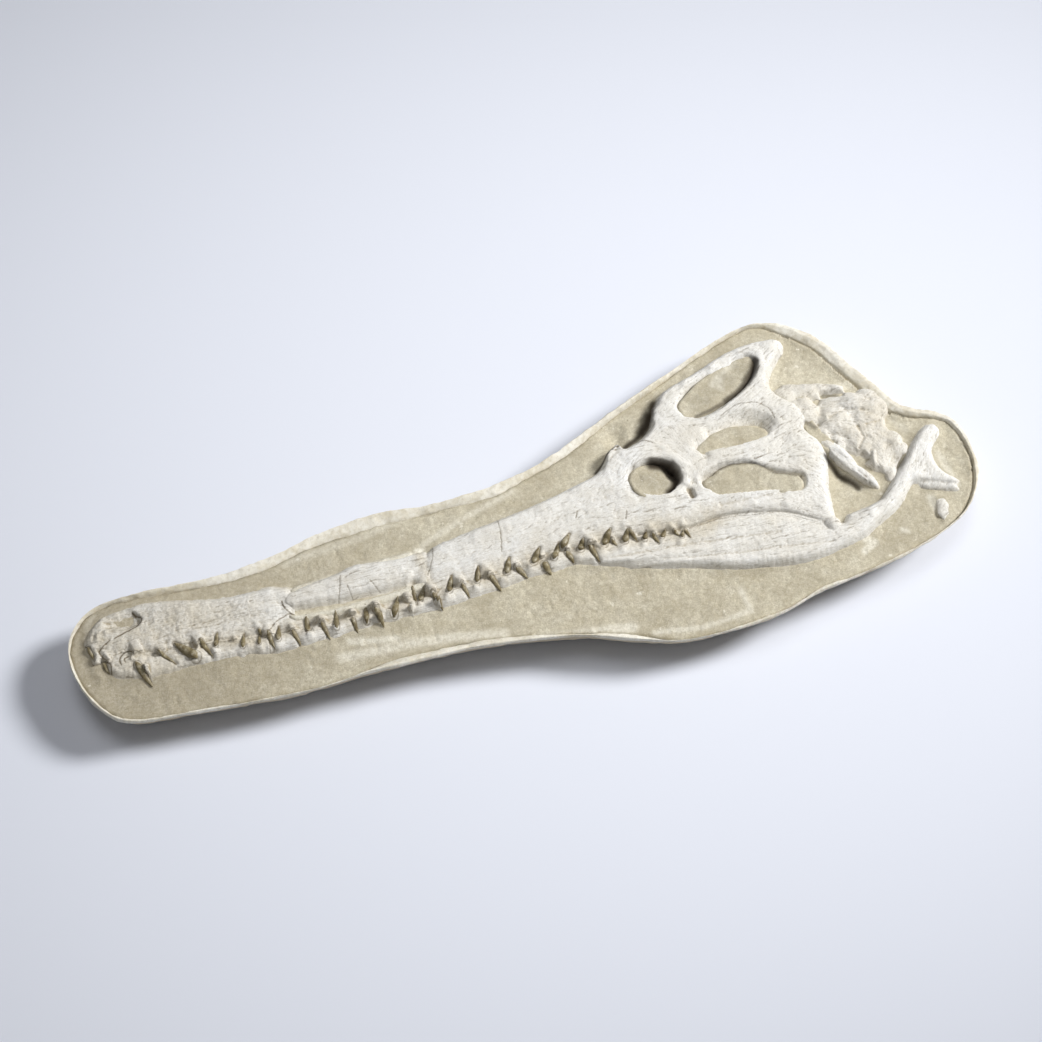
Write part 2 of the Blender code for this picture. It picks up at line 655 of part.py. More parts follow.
def part_by_cuts(item, cuts, pieces, material):
    """Cuts a bone along its sutures and names each piece by the point it holds."""
    walls = [cut_wall(f"{item.name}_cut_{i}", line) for i, line in enumerate(cuts)]
    apply_boolean(item, "DIFFERENCE", walls)
    meshes = [mesh_from_faces(item.data, faces, item.name) for faces in loose_parts(item.data)]
    for name, place in pieces.items():
        start = Vector((place[0] * MM, place[1] * MM, 1.0))
        for mesh in meshes:
            probe = add_object("probe", mesh)
            hit = probe.ray_cast(start, Vector((0, 0, -1)))[0]
            bpy.data.objects.remove(probe, do_unlink=True)
            if hit:
                add_object(name, mesh, material)
                meshes.remove(mesh)
                break
        else:
            raise ValueError("no piece of bone at " + name)
    for mesh in meshes:
        if enclosed_volume(mesh) > 2e-7:
            raise ValueError(f"a piece of {item.name} has no name")
    bpy.data.objects.remove(item, do_unlink=True)


def band_width(ring):
    """Width of the plaster band at each point of the rim."""
    middle = np.interp(ring[:, 0], [m[0] for m in JACKET_MIDLINE], [m[1] for m in JACKET_MIDLINE])
    far = station_height(FAR_BAND, ring[:, 0])
    near = station_height(NEAR_BAND, ring[:, 0])
    return np.where(ring[:, 1] > middle, far, near)


def build_jacket(rim, normals, band, material):
    """The plaster tray: a hull that narrows to a flat underside, and a rim round the rock."""
    profile = [
        (rim + normals * 34.0, 0.0), (rim + normals * 24.0, 6.0), (rim + normals * 9.0, 28.0),
        (rim + normals * 1.5, 50.0), (rim, 61.0), (rim + normals * 1.2, RIM_TOP),
        (rim + normals * 3.2, RIM_TOP), (rim + normals * (band + 1.0)[:, None], MATRIX_TOP + 0.6),
        (rim + normals * (band + 1.6)[:, None], MATRIX_TOP - 6.0),
        (rim + normals * (band + 26.0)[:, None], TRAY_FLOOR),
    ]
    count = len(rim)
    vertices = []
    for ring, level in profile:
        vertices += [(x * MM, y * MM, level * MM) for x, y in ring]
    faces = []
    for row in range(len(profile) - 1):
        for i in range(count):
            a = row * count + i
            b = row * count + (i + 1) % count
            faces.append((a, b, b + count))
            faces.append((a, b + count, a + count))
    for row, flip in ((0, True), (len(profile) - 1, False)):
        ring = profile[row][0]
        _, triangles = flat_triangles([ring], np.zeros((0, 2)), lambda p, r=ring: is_inside(p, r))
        for face in triangles:
            corners = [row * count + i for i in face]
            faces.append(tuple(reversed(corners)) if flip else tuple(corners))
    mesh = bpy.data.meshes.new("plaster_jacket")
    mesh.from_pydata(vertices, [], faces)
    mesh.update()
    return add_object("plaster_jacket", mesh, material)


def build_rock(rim, normals, band, beds, material):
    """The slab of rock in the tray, with a bed cut for each bone."""
    top = counter_clockwise(rim + normals * (band + 1.6 + GAP * 1.4)[:, None])
    low = rim + normals * (band + 26.0 + GAP * 1.4)[:, None]
    shoulder = rim + normals * (band + 1.6 + GAP * 1.4)[:, None]
    field = []
    x = top[:, 0].min()
    row = 0
    while x < top[:, 0].max():
        y = top[:, 1].min() + (MATRIX_FIELD_STEP / 2 if row % 2 else 0.0)
        while y < top[:, 1].max():
            field.append((x, y))
            y += MATRIX_FIELD_STEP
        x += MATRIX_FIELD_STEP * 0.87
        row += 1
    field = np.array(field)
    field = field[is_inside(field, top)]
    field = field[edge_distance(field, top)[0] > MATRIX_FIELD_STEP * 0.5]
    points, top_faces = flat_triangles([top], field, lambda p: is_inside(p, top))
    vertices = []
    for i, (px, py) in enumerate(points):
        swell = noise.noise(Vector((px / 90.0, py / 70.0, 3.0))) * 1.1 if i >= len(top) else -0.6
        vertices.append((px * MM, py * MM, (MATRIX_TOP + swell) * MM))
    faces = [tuple(face) for face in top_faces]
    offset = len(vertices)
    count = len(top)
    vertices += [(px * MM, py * MM, (MATRIX_TOP - 6.0) * MM) for px, py in shoulder]
    vertices += [(px * MM, py * MM, (TRAY_FLOOR + GAP) * MM) for px, py in low]
    _, floor_faces = flat_triangles([low], np.zeros((0, 2)), lambda p: is_inside(p, low))
    faces += [tuple(offset + count + i for i in reversed(face)) for face in floor_faces]
    for i in range(count):
        j = (i + 1) % count
        for upper, lower in ((0, offset), (offset, offset + count)):
            faces.append((lower + i, lower + j, upper + i))
            faces.append((lower + j, upper + j, upper + i))
    mesh = bpy.data.meshes.new("rock_slab")
    mesh.from_pydata(vertices, [], faces)
    mesh.update()
    slab = add_object("rock_slab", mesh, material)
    pockets = [pocket_object(f"bed_{i}", bed) for i, bed in enumerate(beds)]
    apply_boolean(slab, "DIFFERENCE", pockets, "MANIFOLD")
    keep_largest(slab)
    return slab


def main():
    clear_scene()
    chance = random.Random(7)
    materials = {name: make_material(name) for name in COLOURS}

    jaw_line = spline(JAW_LINE, BONE_STEP, closed=False)
    across = np.gradient(jaw_line, axis=0)
    across = np.stack([-across[:, 1], across[:, 0]], axis=1)
    across /= np.linalg.norm(across, axis=1)[:, None]
    skull_side = jaw_line + across * GAP * 0.7
    jaw_side = jaw_line - across * GAP * 0.7

    far_side = spline(SKULL_FAR_SIDE, BONE_STEP, closed=False)
    near_orbit = ellipse(NEAR_ORBIT_CENTRE, NEAR_ORBIT_RADII, NEAR_ORBIT_TURN)
    skull = Relief(
        np.concatenate([far_side, skull_side[::-1]]), SKULL_CREST, 13.0, 0.3,
        openings=[
            (near_orbit, 4.0, 4.0),
            (spline(FAR_OPENING, BONE_STEP), 4.0, 12.0),
            (spline(MIDDLE_OPENING, BONE_STEP), 4.0, 22.0),
            (spline(NEAR_OPENING, BONE_STEP), 5.0, 5.0),
        ],
        steep=[(195, 88, 45, 0.4), (150, 66, 20, 0.2), (366, 110, 30, 0.25)],
        bumps=SKULL_BUMPS,
    )
    lower_edge = spline(LOWER_JAW_EDGE, BONE_STEP, closed=False)
    lower_jaw = Relief(np.concatenate([lower_edge, jaw_side[::-1]]), JAW_CREST, 9.0, 0.3,
                       bumps=JAW_BUMPS)
    occiput = Relief(spline(OCCIPUT, BONE_STEP), [(400, 10), (500, 6)], 8.0, 0.3,
                     bumps=OCCIPUT_BUMPS)
    plate = Relief(spline(ROOF_PLATE, BONE_STEP), [(-320, 13), (-130, 13)], 10.0, 0.35)
    loose = {}
    for name, crest, shoulder, outline in LOOSE_BONES:
        loose[name] = Relief(spline(outline, BONE_STEP), [(0, crest)], shoulder, 0.3,
                             bumps=RIDGE_BUMPS if name == "occipital_ridge" else (),
                             bed=min(BED_DEPTH, crest))

    rim = counter_clockwise(spline(JACKET_RIM, JACKET_STEP))
    normals = inward_normals(rim, smoothing=3)
    band = band_width(rim)
    build_jacket(rim, normals, band, materials["plaster"])
    jaws_bed = Relief(np.concatenate([far_side, lower_edge[::-1]]), SKULL_CREST, 13.0,
                      openings=skull.openings)
    beds = [jaws_bed, plate, occiput, *loose.values()]
    build_rock(rim, normals, band, beds, materials["rock"])

    skull_object = relief_object("skull", skull, materials["bone"])
    upper_teeth = tooth_row("upper", UPPER_TEETH, jaw_line, skull, lower_jaw, chance)
    apply_boolean(skull_object, "UNION", upper_teeth)
    keep_largest(skull_object)
    part_by_cuts(skull_object, SKULL_CUTS, SKULL_PIECES, materials["bone"])

    jaw_object = relief_object("lower_jaw", lower_jaw, materials["bone"])
    lower_teeth = tooth_row("lower", LOWER_TEETH, jaw_line, lower_jaw, skull, chance)
    apply_boolean(jaw_object, "UNION", lower_teeth)
    keep_largest(jaw_object)
    part_by_cuts(jaw_object, LOWER_JAW_CUTS, LOWER_JAW_PIECES, materials["bone"])

    occiput_object = relief_object("occiput", occiput, materials["bone"], step=12.0)
    part_by_cuts(occiput_object, OCCIPUT_CUTS, OCCIPUT_PIECES, materials["bone"])

    relief_object("roof_plate", plate, materials["bone"])
    for name, relief in loose.items():
        relief_object(name, relief, materials["bone"])

    low = rim.min(axis=0)
    high = rim.max(axis=0)
    for item in bpy.data.objects:
        item.location = (-(low[0] + high[0]) / 2 * MM, -(low[1] + high[1]) / 2 * MM, 0.0)


main()
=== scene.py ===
"""The fossil skull of a long-snouted crocodilian, in relief on its rock in a plaster jacket."""

import contextlib
import itertools
import json
import math
import random

import bmesh
import bpy
import numpy as np
from mathutils import Matrix, Vector, kdtree
from mathutils.bvhtree import BVHTree

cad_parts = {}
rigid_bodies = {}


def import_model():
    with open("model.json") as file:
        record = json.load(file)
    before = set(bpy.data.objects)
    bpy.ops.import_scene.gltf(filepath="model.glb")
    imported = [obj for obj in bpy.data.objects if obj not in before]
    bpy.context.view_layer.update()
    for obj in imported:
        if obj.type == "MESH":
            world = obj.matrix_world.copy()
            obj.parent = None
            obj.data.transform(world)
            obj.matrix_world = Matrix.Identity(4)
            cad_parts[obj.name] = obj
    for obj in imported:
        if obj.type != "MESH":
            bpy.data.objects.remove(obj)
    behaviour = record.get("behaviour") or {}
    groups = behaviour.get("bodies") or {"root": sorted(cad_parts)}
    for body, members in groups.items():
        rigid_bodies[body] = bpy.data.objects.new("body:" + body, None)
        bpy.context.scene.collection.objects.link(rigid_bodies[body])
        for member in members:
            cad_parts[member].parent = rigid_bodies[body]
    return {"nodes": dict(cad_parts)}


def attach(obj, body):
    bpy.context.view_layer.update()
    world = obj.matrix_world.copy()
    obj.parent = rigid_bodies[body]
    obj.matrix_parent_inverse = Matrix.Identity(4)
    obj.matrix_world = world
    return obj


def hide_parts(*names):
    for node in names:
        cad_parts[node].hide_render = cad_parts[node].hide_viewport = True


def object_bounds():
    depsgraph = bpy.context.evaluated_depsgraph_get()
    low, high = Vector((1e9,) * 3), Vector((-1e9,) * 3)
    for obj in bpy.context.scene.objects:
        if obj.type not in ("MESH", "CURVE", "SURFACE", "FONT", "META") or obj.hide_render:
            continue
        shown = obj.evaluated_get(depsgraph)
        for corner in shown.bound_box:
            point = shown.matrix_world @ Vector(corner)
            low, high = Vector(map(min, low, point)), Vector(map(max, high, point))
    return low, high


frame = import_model()
cad_low, cad_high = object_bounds()

# THE PLASTER JACKET
# A preparator's field jacket: strips of sacking soaked in plaster, wrapped round the block and
# turned over its rim, where the plaster was smeared down onto the rock. The outside is lumpy and
# shows the overlaps of the strips and the weave of the sacking.
MM = 0.001
STRIP_WIDTH = 84.0
STRIP_STEP = 1.0
TURN_OVER = 58.0
UNDERCUT = 5.0
OUTWARD_LEAN = 4.5


def select_only(*pieces):
    """Selects these pieces and nothing else, and makes the first of them the active one."""
    bpy.ops.object.select_all(action="DESELECT")
    for piece in reversed(pieces):
        piece.select_set(True)
        bpy.context.view_layer.objects.active = piece


@contextlib.contextmanager
def edit_mode(action):
    """The active piece in edit mode, with all of it selected or none."""
    bpy.ops.object.mode_set(mode="EDIT")
    bpy.ops.mesh.select_all(action=action)
    yield
    bpy.ops.object.mode_set(mode="OBJECT")


@contextlib.contextmanager
def open_mesh(piece):
    """The piece's mesh, written back when the changes to it are done."""
    shape = bmesh.new()
    shape.from_mesh(piece.data)
    yield shape
    shape.to_mesh(piece.data)
    shape.free()


def copy_of(name, *nodes):
    """A new piece made of copies of the frame's solids, with the doubled points of each merged."""
    select_only(*(frame["nodes"][node] for node in nodes))
    bpy.ops.object.duplicate()
    if len(nodes) > 1:
        bpy.ops.object.join()
    piece = bpy.context.object
    piece.name = piece.data.name = name
    piece.parent = None
    piece.matrix_world = Matrix.Identity(4)
    for key in list(piece.keys()):
        del piece[key]
    bpy.ops.mesh.customdata_custom_splitnormals_clear()
    with edit_mode("SELECT"):
        bpy.ops.mesh.remove_doubles(threshold=0.000005)
    piece.data.materials.clear()
    return piece


def add_modifier(piece, kind, **settings):
    """Adds one modifier to the piece and applies it."""
    select_only(piece)
    bpy.ops.object.modifier_add(type=kind)
    modifier = piece.modifiers[-1]
    for key, value in settings.items():
        setattr(modifier, key, value)
    bpy.ops.object.modifier_apply(modifier=modifier.name)


def read_points(piece, kind):
    flat = np.empty(len(piece.data.vertices) * 3, np.float32)
    piece.data.vertices.foreach_get(kind, flat)
    return flat.reshape(-1, 3).astype(float)


def places_of(piece):
    """The piece's points in millimetres."""
    return read_points(piece, "co") / MM


def normals_of(piece):
    return read_points(piece, "normal")


def put_places(piece, places):
    piece.data.vertices.foreach_set("co", (places * MM).astype(np.float32).ravel())
    piece.data.update()


def unit(values):
    return np.clip(values, 0.0, 1.0)


def swell(places, size, seed):
    """Smooth random rises and dips of one size, from -1 to 1, at each place."""
    cell = places / np.array(size, float) + np.array((13.7, 5.1, 9.3)) * seed
    corner = np.floor(cell)
    part = cell - corner
    part = part * part * (3.0 - 2.0 * part)
    total = np.zeros(len(places))
    for step in itertools.product((0, 1), repeat=3):
        chance = np.sin((corner + step) @ np.array((127.1, 311.7, 74.7))) * 43758.5453
        chance = chance - np.floor(chance)
        total += np.prod(np.where(step, part, 1.0 - part), axis=1) * chance
    return total * 2.0 - 1.0


class Signal:
    """A shader socket: sums are written on it as in Python, and other nodes grow from it."""

    def __init__(self, tree, socket=None):
        self.tree = tree
        self.socket = socket

    def node(self, kind, settings=(), inputs=(), output=0):
        made = self.tree.nodes.new("ShaderNode" + kind)
        for key, value in dict(settings).items():
            if key == "stops":
                for element, (position, shade) in zip(made.color_ramp.elements, value):
                    element.position = position
                    element.color = (shade, shade, shade, 1.0)
            else:
                setattr(made, key, value)
        for key, value in dict(inputs).items():
            if isinstance(value, Signal):
                self.tree.links.new(value.socket, made.inputs[key])
            else:
                made.inputs[key].default_value = value
        return Signal(self.tree, made.outputs[output])

    def maths(self, operation, *values):
        return self.node("Math", {"operation": operation}, dict(enumerate(values)))

    def __add__(self, other):
        return self.maths("ADD", self, other)

    def __rsub__(self, other):
        return self.maths("SUBTRACT", other, self)

    def __mul__(self, other):
        return self.maths("MULTIPLY", self, other)

    __radd__ = __add__
    __rmul__ = __mul__

    def ramp(self, low, high, shades=(0, 1)):
        """From the first shade to the second while this value goes from low to high."""
        return self.node("ValToRGB", {"stops": list(zip((low, high), shades))}, {0: self})

    def axis(self, number):
        return self.node("SeparateXYZ", {}, {0: self}, number)

    def painted(self, name, output=2):
        """What was stored under this name at the piece's points."""
        return self.node("Attribute", {"attribute_name": name}, {}, output)

    def spots(self, size, cut=None, stretch=(1, 1, 1), detail=2.0, rough=0.5, shift=0.0):
        """Cloudy noise whose features are this many millimetres across, cut between two levels."""
        placed = self.node("Mapping", {"vector_type": "POINT"}, {
            0: self, 1: (shift, shift, shift), 3: stretch})
        noise = self.node("TexNoise", {}, {
            "Vector": placed, "Scale": 1000.0 / size, "Detail": detail, "Roughness": rough})
        return noise.ramp(*cut) if cut else noise

    def mixed(self, one, other):
        """One colour where this value is 0 and the other where it is 1."""
        return self.node("Mix", {"data_type": "RGBA"}, {0: self, 6: one, 7: other}, 2)

    def bump(self, strength, distance):
        return self.node("Bump", {}, {"Strength": strength, "Distance": distance, "Height": self})


def new_finish(name):
    """A new material, the place on the piece that its patterns read, and its surface shader."""
    material = bpy.data.materials.new(name)
    material.use_nodes = True
    tree = material.node_tree
    return material, Signal(tree).node("TexCoord", {}, {}, 3), tree.nodes["Principled BSDF"]


def colour(red, green, blue):
    """A colour measured on a 0 to 255 scale, as the shader takes it."""
    return tuple((c / 255.0) ** 2.2 for c in (red, green, blue)) + (1.0,)


def coats(ground, *layers):
    """A ground colour and the colours over it, each as strong as its mask."""
    tint = colour(*ground)
    for mask, shade in layers:
        tint = mask.mixed(tint, colour(*shade))
    return tint


def connect(shader, base, rough, normal=None):
    shader.inputs["Roughness"].default_value = rough
    if isinstance(base, Signal):
        base.tree.links.new(base.socket, shader.inputs["Base Color"])
        base.tree.links.new(normal.socket, shader.inputs["Normal"])
    else:
        shader.inputs["Base Color"].default_value = base


def set_piece(piece, material, slot, *nodes):
    """Gives a finished piece its material and its place in the frame."""
    piece.data.materials.append(material)
    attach(piece, "root")
    if nodes:
        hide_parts(*nodes)


def fill_loops(piece, low, high):
    """Closes the open edges between two levels with one face for each group of loops."""
    with open_mesh(piece) as shape:
        edges = [edge for edge in shape.edges if edge.is_boundary
                 and all(low < corner.co.z / MM < high for corner in edge.verts)]
        bmesh.ops.triangle_fill(shape, edges=edges, use_beauty=False, use_dissolve=False)
        wires = [edge for edge in shape.edges if edge.is_wire]
        bmesh.ops.delete(shape, geom=wires, context="EDGES")
        gaps = [edge for edge in shape.edges if edge.is_boundary]
        bmesh.ops.holes_fill(shape, edges=gaps, sides=0)
        bmesh.ops.recalc_face_normals(shape, faces=shape.faces)


def behind_skull(places):
    """How far each place lies along the jacket's end behind the skull, from 0 to 1."""
    return unit((places[:, 0] - 372.0) / 40.0) * unit((places[:, 1] + 120.0) / 40.0)


jacket = copy_of("jacket_shell", "plaster_jacket")
with edit_mode("DESELECT"):
    shape = bmesh.from_edit_mesh(jacket.data)
    for face in shape.faces:
        heights = [corner.co.z / MM for corner in face.verts]
        face.select = max(heights) < 0.5 or 10 < min(heights) < max(heights) < 15
    bpy.ops.mesh.delete(type="FACE")
    shape = bmesh.from_edit_mesh(jacket.data)
    loose = [corner for corner in shape.verts if not corner.link_faces]
    bmesh.ops.delete(shape, geom=loose, context="VERTS")
    bmesh.update_edit_mesh(jacket.data)
    bpy.ops.mesh.select_all(action="SELECT")
    bpy.ops.mesh.tris_convert_to_quads(face_threshold=math.pi, shape_threshold=math.pi)
add_modifier(jacket, "SUBSURF", levels=3, render_levels=3)
places = places_of(jacket)
normals = normals_of(jacket)
x, y, z = places.T
overlap = (x + 9 * swell(places, (60, 60, 40), 1) + 30 * np.sign(y)) / STRIP_WIDTH
overlap = overlap - np.floor(overlap)
strip = STRIP_STEP * np.minimum(overlap, (1.0 - overlap) * 25.0)
rough = (1.3 * swell(places, (46, 46, 30), 2) + 0.7 * swell(places, (15, 15, 12), 3)
         + 0.35 * swell(places, 5, 4)) - 0.3 + strip * unit((60.0 - z) / 8.0)
ragged = unit((z - TURN_OVER) / 5.0)
rough = rough + ragged * (0.55 * swell(places, 7, 5) + 0.4 * swell(places, 3.5, 6))
places = places + normals * (rough * unit((z - 0.5) / 5.0))[:, None]
# The side towards the lower jaw is undercut, and the rim behind the skull leans outwards
x, y, z = places.T
tuck = unit(z / 20.0) * unit((61.0 - z) / 7.0)
tuck *= unit(-normals[:, 1] * 2.0) * unit((-20.0 - y) / 40.0)
places[:, :2] -= normals[:, :2] * (UNDERCUT * tuck)[:, None]
behind = behind_skull(places)
lean = OUTWARD_LEAN * behind * unit((z - 25.0) / 30.0) * unit(normals[:, 0] + normals[:, 1])
places[:, :2] += normals[:, :2] * lean[:, None]
raised = unit((z - TURN_OVER) / 2.5) * behind
z += (np.clip(65.5 - z, 0.0, 6.0) * 0.3 + 0.8 * swell(places, 9, 7)) * raised
put_places(jacket, np.clip(places, np.array(cad_low) / MM, np.array(cad_high) / MM))
fill_loops(jacket, -5, 5)
fill_loops(jacket, 10, 18)
bpy.ops.object.shade_smooth()

plaster, spot, shader = new_finish("plaster")
stain = spot.spots(60, (0.38, 0.62), detail=5)
dust = spot.spots(7, (0.42, 0.66), detail=6, rough=0.65)
dirt = spot.spots(5, (0.46, 0.6), detail=5, rough=0.7, shift=0.6)
weave, warp = (
    spot.node("TexWave", {"wave_type": "BANDS", "bands_direction": way}, {
        "Vector": spot, "Scale": 190.0, "Distortion": 1.2, "Detail": 1.0}, 1)
    for way in "XZ")
depth = spot.axis(2)
# The sides below the rim are browner where the sacking shows, and painted darker as their shade
sacking_and_shade = (1.0 - depth * 16.7).ramp(0.0, 0.16)
cloth = spot.spots(35, (0.45, 0.6), detail=2) * (1.0 - depth * 18.0).ramp(0.0, 0.3)
tint = coats((237, 233, 221), (stain, (217, 209, 188)), (dust * 0.55, (243, 241, 233)),
             (sacking_and_shade * 0.7, (178, 162, 134)), (dirt * 0.3, (176, 165, 139)))
height = spot.spots(1.4, detail=4, rough=0.7) + weave * warp * cloth * 0.5
connect(shader, tint, 0.92, height.bump(0.5, 0.0012))
set_piece(jacket, plaster, "plaster", "plaster_jacket")

# THE ROCK
# A slab of sandy phosphate limestone, cleared round the bones with small air tools. Its surface is
# softly uneven, pitted and gritty, with paler smears of plaster along the jacket and small flecks
# of bone.
ROCK_CELL = 2.0
ROCK_TOP = 60.0
ROCK_BOTTOM = 45.0
RIM_SEAM = 61.3
PLAN_LOW = (-596.0, -220.0)
PLAN_SIZE = (1192, 440)
# Dips and rises of the rock: x, y, radius across and along, height
ROCK_SWELLS = [
    (206, 22, 10, 12, -9.0), (300, 122, 30, 14, -1.5), (282, 108, 9, 6, 2.2), (316, 140, 9, 5, 2.0),
    (262, -10, 10, 9, 1.6), (318, -14, 12, 6, 1.2), (150, 92, 15, 19, -8.0), (118, 66, 9, 7, -1.5),
    (414, -36, 10, 15, -6.0), (434, -60, 9, 9, -4.0), (484, -30, 9, 18, -6.0),
    (496, 30, 12, 14, -3.0), (430, 120, 34, 24, -2.0), (514, -122, 6, 14, -3.0),
    (200, 112, 9, 12, -5.0), (178, 88, 9, 9, -3.0),
]
# Painted shade: dark colour where shadow falls in deep hollows, under overhangs and along some
# cracks
# a line along each, its half width, strength
PAINTED_SHADE = [
    ([(213, 128), (206, 116), (199, 104)], 5, 0.9), ([(204, 114), (196, 100), (186, 91)], 8, 1.0),
    ([(190, 94), (174, 83), (160, 77)], 4.5, 0.95), ([(112, 48), (124, 58), (133, 66),
    (140, 74)], 2.4, 0.9), ([(182, 36), (193, 33), (203, 26), (207, 15), (206, 5), (200, -4),
    (193, -9)], 7.5, 1.0), ([(170, 14), (184, 8)], 18, 0.26), ([(262, 104), (300, 122),
    (338, 142)], 15, 0.16), ([(263, 4), (279, 7), (296, 4), (309, 0), (319, -9), (327, -19),
    (343, -25), (354, -31)], 2.2, 0.75), ([(402, -10), (412, -34), (430, -60)], 4.5, 0.95),
    ([(222, -14), (221, -24)], 3.5, 0.9), ([(338, 123), (350, 135), (358, 148)], 7, 0.9),
    ([(303, 102), (322, 110), (338, 123)], 5, 0.9), ([(258, 88), (280, 93), (303, 102)], 2.8, 0.7),
    ([(490, -14), (497, -30), (492, -44)], 7, 0.45), ([(446, -9), (457, -23)], 4, 0.35),
    ([(394, 44), (402, 34)], 4, 0.6), ([(430, 80), (446, 76)], 4, 0.6), ([(-498, 9), (-491, 3),
    (-489, -3), (-494, -9)], 2.2, 0.8), ([(-494, -10), (-504, -14), (-516, -18)], 1.6, 0.5),
    ([(-318, -28), (-317, -38), (-309, -44)], 1.8, 0.7), ([(330, 20), (347, 30), (356, 46),
    (350, 60)], 2.2, 0.35),
]
# Raised rock beside the bones: its outline and height
LEDGES = [
    ([(-316, -44), (-298, -50), (-261, -53), (-222, -51), (-184, -50), (-150, -46), (-136, -46),
    (-136, -56), (-154, -56), (-187, -60), (-225, -61), (-262, -58), (-304, -56)], 69.5),
    ([(-300, -22), (-291, -17), (-252, -18), (-212, -12), (-173, -9), (-145, -8), (-145, 0),
    (-173, 0), (-212, -3), (-252, -9), (-291, -8), (-304, -12)], 67.5), ([(386, 84), (404, 84),
    (404, 40), (420, 6), (408, -6), (392, 10), (388, 40)], 70.0),
]
# Smears of plaster, and flakes of bone: a line along each, its half width, strength
SMEARS = [
    ([(-262, -116), (-213, -119), (-175, -120), (-120, -126), (-60, -138)], 7, 0.7), ([(-247, -97),
    (-212, -106), (-190, -108)], 5, 0.8), ([(-20, -156), (20, -163), (60, -167),
    (96, -172)], 7, 0.8), ([(120, -186), (180, -196), (240, -190)], 4, 0.6), ([(-560, -30),
    (-556, 10), (-530, 44)], 4, 0.3), ([(-300, 30), (-200, 40), (-100, 62), (0, 96)], 6, 0.4),
    ([(414, -133), (424, -140), (408, -148)], 5, 0.9), ([(464, -132), (470, -136)], 4, 0.7),
    ([(240, -158), (244, -190)], 4, 0.6), ([(294, 128), (304, 136), (302, 122)], 5, 0.6),
    ([(310, 140), (330, 152)], 4, 0.5), ([(436, 88), (470, 90)], 6, 0.4), ([(-310, -52),
    (-262, -56), (-187, -56), (-140, -50)], 8, 0.8), ([(-296, -14), (-212, -7),
    (-145, -3)], 7, 0.8), ([(-134, -2), (-132, -30), (-134, -56)], 9, 1.1), ([(-128, 8), (-60, 34),
    (0, 52)], 5, 0.5), ([(513, -98), (516, -116)], 5, 0.7), ([(500, 30), (516, 4)], 6, 0.3),
    ([(545, -40), (552, -90)], 5, 0.5),
]
# Rock left in the skull's openings: its outline, a place, the height there, slopes along x and y
OPENINGS = [
    ([(244, 105), (259, 117), (276, 129), (293, 137), (312, 144), (332, 149), (350, 151),
    (355, 148), (343, 136), (330, 125), (306, 110), (278, 96), (256, 91),
    (246, 97)], (300, 122), 75.0, -0.12, 0.16), ([(244, 34), (258, 44), (273, 52), (293, 55),
    (318, 51), (333, 42), (331, 34), (298, 31), (260, 32)], (290, 42), 77.0, 0.0, 0.0),
    ([(242, -11), (252, -8), (260, -6), (265, 0), (278, 2), (295, -1), (307, -5), (316, -14),
    (324, -24), (341, -30), (352, -35), (354, -41), (352, -46), (344, -49), (320, -43), (296, -39),
    (270, -35), (252, -32), (244, -25)], (300, -22), 78.5, 0.01, -0.03), ([(152, 17), (160, 28),
    (173, 34), (185, 35), (196, 27), (204, 15), (206, 3), (200, -8), (190, -13), (176, -12),
    (160, -5), (153, 4)], (182, 12), 72.6, -0.24, -0.12),
]


def tree_of(objects):
    points = []
    faces = []
    for item in objects:
        start = len(points)
        points += [v.co[:] for v in item.data.vertices]
        faces += [[start + i for i in p.vertices] for p in item.data.polygons]
    return BVHTree.FromPolygons(points, faces)


def read_map(chart, places, cell=1.0):
    """The chart's value at each place, blended between its cells."""
    column = np.clip((places[:, 0] - PLAN_LOW[0]) / cell - 0.5, 0, chart.shape[1] - 2)
    row = np.clip((places[:, 1] - PLAN_LOW[1]) / cell - 0.5, 0, chart.shape[0] - 2)
    c, r = column.astype(int), row.astype(int)
    u, v = column - c, row - r
    return ((chart[r, c] * (1 - u) + chart[r, c + 1] * u) * (1 - v)
            + (chart[r + 1, c] * (1 - u) + chart[r + 1, c + 1] * u) * v)


def soften(chart, rounds):
    chart = chart * 1.0
    for axis in (0, 1) * rounds:
        chart = 0.5 * chart + 0.25 * (np.roll(chart, 1, axis) + np.roll(chart, -1, axis))
    return chart


def smooth_line(points, step):
    """Points at an even step along a smooth open curve through the given ones."""
    control = np.array([points[0], *points, points[-1]], float)
    dense = []
    for p0, p1, p2, p3 in zip(control, control[1:], control[2:], control[3:]):
        for t in np.linspace(0.0, 1.0, 12, endpoint=False):
            dense.append(0.5 * (2 * p1 + (p2 - p0) * t + (2 * p0 - 5 * p1 + 4 * p2 - p3) * t ** 2
                                + (3 * p1 - p0 - 3 * p2 + p3) * t ** 3))
    dense = np.array(dense + [control[-1]])
    along = np.concatenate([[0.0], np.cumsum(np.linalg.norm(np.diff(dense, axis=0), axis=1))])
    wanted = np.linspace(0.0, along[-1], max(3, int(round(along[-1] / step))) + 1)
    return np.stack([np.interp(wanted, along, dense[:, k]) for k in (0, 1)], axis=1)


def store(piece, name, values):
    """Keeps a value or a vector at each of the piece's points, for its material."""
    kind, field = ("FLOAT", "value") if values.ndim == 1 else ("FLOAT_VECTOR", "vector")
    layer = piece.data.attributes.new(name, kind, "POINT")
    layer.data.foreach_set(field, values.astype(np.float32).ravel())


def reach_of(places, points):
    """How far each place is from a line."""
    line = np.array(points, float)
    best = np.full(len(places), 1e9)
    for a, b in zip(line[:-1], line[1:]):
        span = b - a
        t = unit(((places[:, :2] - a) @ span) / (span @ span))
        best = np.minimum(best, np.linalg.norm(places[:, :2] - a - t[:, None] * span, axis=1))
    return best


def finder(points):
    """Finds the nearest of these points, and those within a distance."""
    tree = kdtree.KDTree(len(points))
    for i, point in enumerate(points):
        tree.insert(point, i)
    tree.balance()
    return tree


